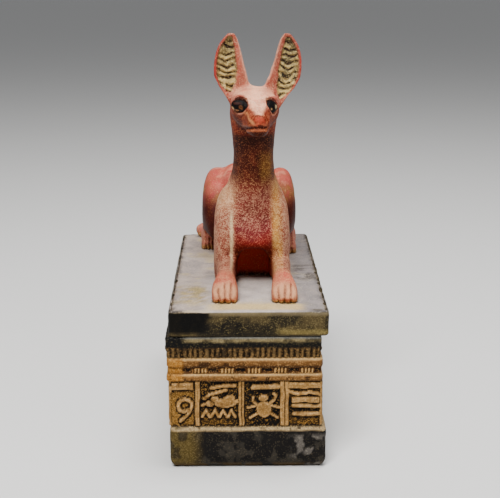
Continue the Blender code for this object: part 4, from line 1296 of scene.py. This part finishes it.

# %% [markdown]
# # The jackal's colours
#
# The animal is painted rose and red-brown. Sand-coloured dust lies thick on the shoulders and legs
# and thins out up the neck, and the hollow under the breast is bare and blood-red. The brow is pale,
# the eyes are black, and the ears hold cream chevrons. The slab is a dusty grey with black edges.
# Light and shade are painted in too: painted shadows under the belly, the chin and the muzzle, at
# the hollow's foot and on faces turned down, painted shade in creases and between the toes, and
# painted highlights on the left leg's ridge, the paws' tips and feet, the ears' inner edges, the
# muzzle's left ridge, glints in the eyes and a strip of the slab under the forepaws.

# %% Painting the jackal
def paint_body(coats, p, n, on_animal):
    """Coats for everything below the head, in the jackal's own frame."""
    x, y, z = p.T
    rear = step_up(y, 2, 14) * on_animal
    wide = cloudy(p, 7.0, 302)
    coats.lay(on_animal, (126, 54, 42), (214, 164, 112), 0.26)
    coats.lay(rear, (156, 80, 68), (214, 150, 116), 0.07)
    coats.lay(rear * step_up(z, 34, 43), (182, 92, 78))
    coats.lay(0.6 * rear * patches(p, 5.0, 303, 0.4), (170, 78, 74))
    coats.lay(0.5 * rear * patches(p, 3.5, 312, 0.35) * step_up(z, 34, 43), (216, 150, 124))
    flank = 1 - 0.75 * step_up(y + 4 * wide, 40, 62)
    # The lower haunch and flank very dark: a painted shadow under the belly and thigh.
    low = rear * flank * step_down(z + 2.5 * wide, 25, 37) * (z > 8)
    coats.lay(0.95 * low, (52, 14, 7), (120, 72, 40), 0.04)
    green = flank * band(z + 3 * wide, 30, 38, 3) * patches(p, 6.0, 304, 0.55)
    coats.lay(0.7 * rear * green, (132, 98, 50), cover=0.12)
    hind_paw = step_up(y, 24, 30) * on_animal * step_down(z, 10.0, 12.5) * (np.abs(x) > 15)
    coats.lay(hind_paw, (176, 104, 92), (216, 166, 122), 0.16)
    coats.lay(0.7 * hind_paw * step_down(z, 1.0, 4.0), (176, 136, 70), cover=0.3)

    front = (1 - rear) * on_animal
    neck = front * step_up(z, 44, 56)
    coats.lay(neck, (60, 22, 13), (138, 84, 58), 0.22)
    coats.lay(0.6 * neck * patches(p, 3.0, 313, 0.4), (98, 40, 28))
    # The front of the upper neck darker: a painted shadow under the chin.
    coats.lay(neck * step_up(z, 62, 73) * step_up(-n[:, 1], 0.1, 0.7), (42, 15, 9), cover=0.08)
    olive = neck * band(x + wide, 3.2, 8.6, 1.8) * band(z, 44, 64, 5)
    coats.lay(0.8 * olive, (110, 68, 34), (176, 132, 74), 0.34)
    breast = front * step_down(z, 42, 54) * step_down(np.abs(x), 8.5, 12.5) * step_up(-y, 18, 24)
    coats.lay(breast, (116, 50, 44), (192, 138, 112), 0.42)
    redder = breast * band(z, 16, 31, 4) * (0.4 + 0.6 * patches(p, 5.0, 305, 0.5))
    coats.lay(0.8 * redder, (104, 28, 32), (182, 122, 106), 0.26)
    coats.lay(breast * step_down(z + wide, 20, 30), (112, 30, 26), (170, 84, 66), 0.22)
    coats.lay(front * (np.abs(x) < 11) * step_down(z, 19, 22.5) * (y < -22), (92, 22, 16), cover=0.10)
    shoulder = front * band(z, 30, 50, 5) * step_up(np.abs(x), 7, 11.5)
    coats.lay(shoulder, (152, 84, 66), (216, 170, 138), 0.50)
    coats.lay(0.6 * shoulder * (x < 0) * band(z, 36, 48, 4), (196, 148, 108), (228, 184, 142), 0.60)
    coats.lay(0.7 * shoulder * (x > 0) * band(x, 6.5, 12.5, 2.0), (188, 132, 68), (226, 176, 104), 0.56)
    leg = front * step_down(z, 30, 40) * step_up(np.abs(x), 8.2, 10.2)
    coats.lay(leg, (142, 76, 62), (212, 166, 134), 0.48)
    coats.lay(0.6 * leg * patches(p, 4.0, 307, 0.35), (112, 40, 34), cover=0.26)
    # A cream streak down the left leg's front ridge: a painted highlight.
    left_ridge_highlight = leg * (x < 0) * band(-x - 0.3 * wide, 10.0, 11.3, 0.4) * band(z, 11, 37, 5) * (y < -20)
    coats.lay(0.9 * left_ridge_highlight, (226, 192, 146), (242, 214, 170), 0.72)
    right_streak = leg * (x > 0) * band(x, 8.6, 14.0, 1.0) * (0.4 + 0.6 * patches(p, 5.0, 306, 0.6))
    coats.lay(0.8 * right_streak, (184, 128, 64), (226, 178, 104), 0.54)

    inside = front * (np.abs(x) < CHEST_HOLLOW[0] + 0.5) * (y > -33.5) * (y < -10) * (z > 0.3)
    inside = inside * step_down(z, CHEST_HOLLOW[2] - 1.0, CHEST_HOLLOW[2] + 1.6)
    coats.lay(inside, (186, 62, 46), (200, 110, 80), 0.08)
    coats.lay(inside * step_up(-y, 23, 28), (78, 20, 14), cover=0.12)
    # Darkest at the hollow's foot on the slab: dark paint with a painted shadow in the crease.
    coats.lay(inside * step_down(z, 0.8, 3.6), (26, 10, 8), (150, 110, 70), 0.18)

    paw = front * step_up(-y, 42, 50) * (z < 16)
    coats.lay(paw, (190, 104, 84), (224, 164, 126), 0.30)
    coats.lay(0.6 * paw * patches(p, 4.0, 308, 0.4), (172, 76, 66), cover=0.2)
    # The paws' tips lighter where they face up and forward: a painted highlight.
    coats.lay(0.75 * paw * step_up(-y, 56, 61) * step_up(n[:, 2] - 0.4 * n[:, 1], 0.1, 0.8),
              (222, 170, 132), cover=0.34)
    # Darker in the grooves between the toes: painted shade.
    coats.lay(0.55 * toe_grooves(p) * on_animal, (140, 66, 50), cover=0.1)
    # A yellow line along the paws' feet: a painted highlight.
    coats.lay(0.8 * paw * step_down(z, 0.6, 2.2), (150, 96, 60), (236, 196, 120), 0.5)


LEAF_GROUND = {-1: (128, 110, 74), 1: (92, 82, 60)}
# Spots in each eye: the dark-brown streak, the amber iris and the pupil are paint; the cream spots are painted
# glints.
EYE_SPECKS_AND_GLINTS = {
    -1: ((-0.05, 0.40, 0.40, 0.22, (58, 32, 26)), (-0.42, -0.15, 0.19, 0.28, (140, 88, 56)),
         (-0.40, -0.12, 0.11, 0.17, (14, 10, 8)), (0.40, -0.38, 0.22, 0.26, (214, 172, 124)),
         (0.05, -0.62, 0.22, 0.12, (170, 120, 84))),
    1: ((0.36, 0.02, 0.20, 0.38, (176, 152, 118)), (-0.52, -0.22, 0.15, 0.24, (206, 160, 116))),
}


def paint_head(coats, q, n, on_head):
    """Coats for the head, in its own straight frame."""
    x, y, z = q.T
    coats.lay(on_head, (106, 38, 25), (184, 108, 76), 0.24)
    coats.lay(0.5 * on_head * patches(q, 2.4, 314, 0.35), (140, 66, 50))
    coats.lay(0.6 * on_head * patches(q, 3.0, 318, 0.25), (78, 26, 17))
    upper = on_head * step_up(z, 86, 91)
    coats.lay(upper, (176, 92, 78), (222, 166, 140), 0.20)
    coats.lay(0.55 * upper * patches(q, 2.6, 315, 0.45), (206, 140, 118))
    strip = np.interp(y, [-61, -55, -50, -45, -40, -34], [0.8, 2.0, 3.8, 5.8, 8.5, 9.5])
    pale = on_head * step_down(np.abs(x + 0.3), strip - 1.2, strip + 1.2) * step_up(z, 83.5, 86) * (y > -58)
    pale = pale * step_down(y + 2 * cloudy(q, 5.0, 317), -25, -19)
    coats.lay(0.95 * pale, (255, 182, 146), (255, 206, 172), 0.34)
    coats.lay(0.5 * on_head * patches(q, 3.5, 310, 0.30) * step_up(z, 82, 86), (176, 96, 82))
    # Dark under the mouth: a painted shadow under the muzzle.
    below = on_head * step_down(mouth_line(q), -2.8, -1.4) * step_up(-y, 36, 44)
    coats.lay(below, (52, 18, 11), (124, 70, 46), 0.12)
    # Faces turned down on the lower head darker: painted shade.
    shade_facing_down = 1 - step_up(n[:, 2], -0.50, -0.05)
    coats.lay(0.8 * on_head * shade_facing_down * step_up(-y, 33, 38) * (z < 83), (54, 19, 12), cover=0.04)
    front = on_head * step_up(-y, 42, 46)
    h = mouth_line(q)
    coats.lay(0.6 * front * bump(h, -1.1, 0.9) * (x < 3.6), (178, 108, 76), cover=0.22)
    coats.lay(0.4 * front * bump(h, 1.2, 1.0) * (x < 3.6), (176, 104, 78), cover=0.22)
    coats.lay(0.85 * front * bump(h, -0.1, 0.7) * (x < 3.8), (74, 26, 18), cover=0.0)
    # A pale line on the muzzle's left ridge only: a painted highlight.
    ridge = np.abs(z - np.interp(y, [-60, -51.5], [82.0, 85.3]))
    coats.lay(0.7 * front * bump(ridge, 0, 1.2) * (x < -0.6) * (z < 86) * step_up(-y, 48, 51),
              (216, 150, 104), cover=0.2)
    knob = on_head * step_down(distance_in(q, NOSE, (2.7, 3.0, 2.6)), 0.7, 1.1)
    coats.lay(0.85 * knob, (172, 72, 54), cover=0.10)
    tip = on_head * step_down(distance_in(q, (0.3, -60.8, 80.9), (1.6, 1.6, 1.0)), 0.6, 1.1)
    coats.lay(0.8 * tip, (40, 16, 12), cover=0.0)
    for side in (-1, 1):
        w, _ = ear_place(q, side)
        ear = on_head * step_up(z, 91, 97) * step_up(side * x, 1.0, 6.0)
        coats.lay(ear, (170, 92, 76), (214, 158, 130), 0.22)
        coats.lay(0.6 * ear * patches(q, 2.0, 316, 0.4), (142, 66, 56))
        coats.lay(0.8 * ear * step_up(w, 0.76, 0.92), (158, 48, 46), cover=0.05)
        # The ear's inner edge pale: a painted highlight.
        coats.lay(0.7 * ear * step_down(w, -0.98, -0.78), (224, 172, 146))
        leaf = ear_inside(q, n, side)
        rows = ear_rows(q, side)
        pale = step_up(cloudy(q, 3.0, 311) - 0.03 * (z - 104), -0.3, 0.4)
        coats.lay(leaf, LEAF_GROUND[side], (206, 184, 130), 0.24)
        coats.lay(0.9 * leaf * pale * step_up(rows, 0.45, 0.8), (206, 176, 112), (236, 212, 154), 0.40)
        coats.lay(0.95 * leaf * step_down(rows, 0.12, 0.40), (26, 26, 24), cover=0.06)
        d = eye_round(q, side)
        s, t = eye_place(q, side)
        brow = on_head * bump(d, 1.28, 0.32) * step_up(t, -0.1, 0.4)
        coats.lay(0.8 * brow, (70, 20, 15), cover=0.04)
        under = on_head * bump(d, 1.24, 0.26) * step_down(t, -0.55, -0.25)
        coats.lay(0.7 * under, (214, 150, 124), cover=0.2)
        coats.lay(on_head * step_down(d, 0.94, 1.08), (9, 7, 7), (60, 44, 34), 0.0)
        # Paint spots and painted glints in the eyes.
        for along, up, long, tall, colour in EYE_SPECKS_AND_GLINTS[side]:
            spot = 1 - step_up(np.hypot((s - along) / long, (t - up) / tall), 0.6, 1.1)
            coats.lay(0.95 * on_head * spot, colour, cover=0.0)


def paint_slab(coats, world, n):
    """Coats for the slab: a dusty top, black edges, and a mottled olive front."""
    x, y, z = world.T
    top = step_up(n[:, 2], 0.5, 0.85) * (z > SLAB_TOP - 1.5)
    wide = cloudy(world, 8.0, 402)
    coats.lay(top, (172, 157, 148), (204, 190, 174), 0.24)
    coats.lay(0.55 * top * patches(world, 9.0, 403, 0.4), (138, 130, 128), cover=0.14)
    coats.lay(0.5 * top * patches(world, 6.0, 404, 0.25), (196, 176, 142), (220, 196, 140), 0.4)
    coats.lay(0.75 * top * band(x + 3 * wide, -20, 20, 6) * step_down(y, -35, -5), (204, 192, 186))
    coats.lay(0.7 * top * step_up(x + 3 * wide, 20, 28), (132, 127, 128), (176, 168, 158), 0.14)
    smear = top * band(x, -34, -19, 2.5) * band(y, -64, -35, 4) * patches(world, 3.0, 405, 0.6)
    coats.lay(0.8 * smear, (128, 112, 72), (216, 192, 128), 0.52)
    dark = top * band(x, 24, 34, 2.5) * band(y, -24, 6, 4) * patches(world, 4.0, 406, 0.6)
    coats.lay(0.8 * dark, (74, 68, 66), cover=0.16)
    # A yellow strip on the slab under and before the forepaws: a painted highlight.
    ledge = top * band(y + 2 * wide, -75, -64, 1.6) * band(x, -17, 25, 3)
    coats.lay(0.75 * ledge, (214, 180, 120), (240, 210, 142), 0.52)
    from_side = np.minimum(SLAB_HALF_WIDTH - np.abs(x - LID_SHIFT), SLAB_HALF_LENGTH - np.abs(y))
    rim = (z > SLAB_TOP - 3) * step_down(from_side + 1.4 * wide, 1.0, 3.8) * step_up(np.abs(x), 26, 31)
    coats.lay(0.85 * rim * (0.35 + 0.65 * patches(world, 4.0, 407, 0.75)), (38, 36, 36), cover=0.06)
    side = (1 - top) * (z > SLAB_BOTTOM - 0.5)
    coats.lay(side, (74, 63, 42), (116, 102, 68), 0.24)
    coats.lay(side * patches(world, 4.0, 408, 0.42), (40, 35, 25), cover=0.14)
    rough = cloudy(world, 3.5, 409)
    black = step_down(x + 5 * rough, -20, -15) * step_up(z + 2 * rough, 64.6, 66.6)
    coats.lay(0.95 * side * black * (z < 75.3) * (y < FRONT_LIMIT), (6, 5, 5), (30, 28, 24), 0.0)
    lower = side * band(x, -19, 8, 4) * step_down(z + 1.4 * wide, 69.0, 71.5)
    coats.lay(0.8 * lower, (22, 20, 17), cover=0.06)
    khaki = side * band(z + 0.5 * wide, 65.3, 67.6, 0.5) * step_up(x, 11, 17)
    coats.lay(0.75 * khaki, (122, 106, 64), (150, 134, 88), 0.30)
    coats.lay(0.6 * side * band(z, SLAB_TOP - 1.7, SLAB_TOP + 0.2, 0.4) * (x > -17),
              (126, 112, 86), cover=0.26)
    coats.lay((z < SLAB_BOTTOM + 0.2) * 1.0, (96, 84, 66), cover=0.10)


def paint_lid(mesh):
    """All the lid's coats: the slab first, then the body, then the head."""
    world = coordinates(mesh)
    n = normals(mesh)
    p = world - JACKAL_PLACE
    coats = Coats(len(world), (110, 100, 84), (200, 190, 170), 0.15)
    paint_slab(coats, world, n)
    near_feet = step_up(p[:, 2], 0.15, 0.7)
    paint_body(coats, p, n, near_feet)
    muzzle = step_up(-p[:, 1], 40, 43) * step_up(p[:, 2], 66, 70)
    on_head = near_feet * np.maximum(step_up(p[:, 2], 72.5, 75.5), muzzle)
    paint_head(coats, head_frame(p), n @ HEAD_TURN, on_head)
    # Darker in the jackal's hollows and creases: painted shade.
    hollow = hollowness(mesh, 3)
    coats.lay(0.5 * near_feet * step_up(hollow, 0.03, 0.16), (50, 18, 14), cover=0.08)
    coats.keep(mesh)
    return coats


lid_coats = paint_lid(lid_mesh)
print("the lid's dust covers", round(float(lid_coats.cover.mean()), 2), "on average")

# %% [markdown]
# # The stone material
#
# One recipe serves both pieces. The dust lies in grains: each cell of a Voronoi pattern holds a
# random number, and the cell is dust where that number is below the point's cover. A cloudy noise
# shifts the cover, so the grains gather in drifts. Paint and dust both vary a little in tone. Grains
# and noise also lift the surface, which gives the stone its sandy look.

# %% Shader arithmetic
def add_node(tree, kind, settings=None, inputs=None, output=0):
    """Add a node, set its settings and inputs (values or sockets), and return one of its outputs."""
    made = tree.nodes.new(kind)
    for key, value in (settings or {}).items():
        setattr(made, key, value)
    for key, value in (inputs or {}).items():
        if isinstance(value, Socket):
            tree.links.new(value.socket, made.inputs[key])
        else:
            made.inputs[key].default_value = value
    return Socket(tree, made.outputs[output])


class Socket:
    """A number inside a material: each arithmetic operator adds a Math node."""

    def __init__(self, tree, socket):
        self.tree = tree
        self.socket = socket

    def maths(self, operation, *values):
        return add_node(self.tree, "ShaderNodeMath", {"operation": operation}, dict(enumerate(values)))

    def __add__(self, other):
        return self.maths("ADD", self, other)

    def __sub__(self, other):
        return self.maths("SUBTRACT", self, other)

    def __rsub__(self, other):
        return self.maths("SUBTRACT", other, self)

    def __mul__(self, other):
        return self.maths("MULTIPLY", self, other)

    __radd__ = __add__
    __rmul__ = __mul__

    def rise(self, low, high):
        """0 below low and 1 above high, straight between them."""
        return add_node(self.tree, "ShaderNodeMapRange", {},
                        {"Value": self, "From Min": low, "From Max": high})


def scaled(tree, colour, factor):
    """A colour made lighter or darker by a number."""
    return add_node(tree, "ShaderNodeVectorMath", {"operation": "SCALE"}, {"Vector": colour, "Scale": factor})


def blend(tree, factor, first_colour, second_colour):
    """A mix of two colours."""
    return add_node(tree, "ShaderNodeMix", {"data_type": "RGBA"},
                    {0: factor, 6: first_colour, 7: second_colour}, 2)


GLOSS = 0.07


def painted_stone(name, grain_mm, bump_mm, roughness, strength):
    """Painted stone with dust in grains of about the given size and strength."""
    material = bpy.data.materials.new(name)
    material.use_nodes = True
    tree = material.node_tree
    surface = tree.nodes["Principled BSDF"]
    where = add_node(tree, "ShaderNodeTexCoord", output="Object")
    paint = add_node(tree, "ShaderNodeAttribute", {"attribute_name": "paint"}, output="Color")
    dust = add_node(tree, "ShaderNodeAttribute", {"attribute_name": "dust"}, output="Color")
    cover = add_node(tree, "ShaderNodeAttribute", {"attribute_name": "cover"}, output="Fac")
    cells = add_node(tree, "ShaderNodeTexVoronoi", {},
                     {"Vector": where, "Scale": 1 / (grain_mm * MM)}, "Color")
    rank = add_node(tree, "ShaderNodeSeparateColor", {}, {"Color": cells}, "Red")
    tone = add_node(tree, "ShaderNodeSeparateColor", {}, {"Color": cells}, "Green")
    drifts, cloud, grit = (
        add_node(tree, "ShaderNodeTexNoise", {}, {"Vector": where, "Scale": 1 / (size * MM), "Detail": detail})
        for size, detail in ((2.4, 3.0), (7.0, 4.0), (0.45, 2.0)))
    reach = cover * (0.35 + 1.3 * drifts.rise(0.3, 0.7)) - rank
    grains = strength * reach.rise(-0.10, 0.10)
    painted = scaled(tree, paint, 0.66 + 0.36 * cloud.rise(0.3, 0.7) + 0.30 * grit.rise(0.3, 0.7))
    dusty = scaled(tree, dust, 0.70 + 0.45 * tone)
    colour = blend(tree, grains, painted, dusty)
    height = 0.55 * grains + 0.45 * grit + 0.8 * drifts
    relief = add_node(tree, "ShaderNodeBump", {},
                      {"Strength": 0.6, "Distance": bump_mm * MM, "Height": height}, "Normal")
    links = {"Base Color": colour, "Roughness": roughness + 0.22 * grains, "Normal": relief}
    for key, value in links.items():
        tree.links.new(value.socket, surface.inputs[key])
    surface.inputs["Specular IOR Level"].default_value = GLOSS
    return material


chest_stone = painted_stone("painted_chest_stone", 0.44, 0.22, 0.58, 0.62)
lid_stone = painted_stone("painted_lid_stone", 0.36, 0.18, 0.54, 0.85)
print("a stone material has", len(lid_stone.node_tree.nodes), "nodes")

# %% [markdown]
# # Both pieces in their places
#
# Each carved mesh takes the place of its solid, in the same spot, and rides with the same body.

# %% Pieces
def show(name, mesh, node, material):
    """Put a finished mesh in the scene in place of its solid."""
    mesh.name = name
    mesh.materials.clear()
    mesh.materials.append(material)
    piece = bpy.data.objects.new(name, mesh)
    bpy.context.scene.collection.objects.link(piece)
    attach(piece, "root")
    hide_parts(node)


show("carved_chest", chest_mesh, "chest", chest_stone)
show("carved_lid", lid_mesh, "jackal_lid", lid_stone)
print("chest", len(chest_mesh.polygons), "faces, lid", len(lid_mesh.polygons), "faces")

# %% Floor and light
FLOOR_SIZE = 30.0
floor_mesh = bpy.data.meshes.new("floor")
floor_corners = [(FLOOR_SIZE * x, FLOOR_SIZE * y, 0) for x, y in ((-1, -1), (1, -1), (1, 1), (-1, 1))]
floor_mesh.from_pydata(floor_corners, [], [(0, 1, 2, 3)])
floor = bpy.data.objects.new("floor", floor_mesh)
bpy.context.scene.collection.objects.link(floor)
pale = bpy.data.materials.new("pale_floor")
pale.use_nodes = True
pale.node_tree.nodes["Principled BSDF"].inputs["Base Color"].default_value = (0.75, 0.74, 0.72, 1)
pale.node_tree.nodes["Principled BSDF"].inputs["Roughness"].default_value = 0.8
floor_mesh.materials.append(pale)


def softbox(name, place, target, size, power):
    """A square area light aimed at a point."""
    data = bpy.data.lights.new(name, "AREA")
    data.size = size
    data.energy = power
    made = bpy.data.objects.new(name, data)
    made.location = place
    made.rotation_euler = (Vector(target) - Vector(place)).to_track_quat("-Z", "Y").to_euler()
    bpy.context.scene.collection.objects.link(made)


softbox("key", (-0.22, -0.62, 0.98), (0, 0, 0.09), 0.36, 17)
softbox("fill", (0.8, -0.7, 0.45), (0, 0, 0.09), 0.7, 2.5)
softbox("top", (0.15, 0.02, 1.1), (0, 0, 0.1), 0.45, 10)
world = bpy.data.worlds.new("studio")
world.use_nodes = True
world.node_tree.nodes["Background"].inputs["Color"].default_value = (0.9, 0.92, 0.95, 1)
world.node_tree.nodes["Background"].inputs["Strength"].default_value = 0.28
bpy.context.scene.world = world
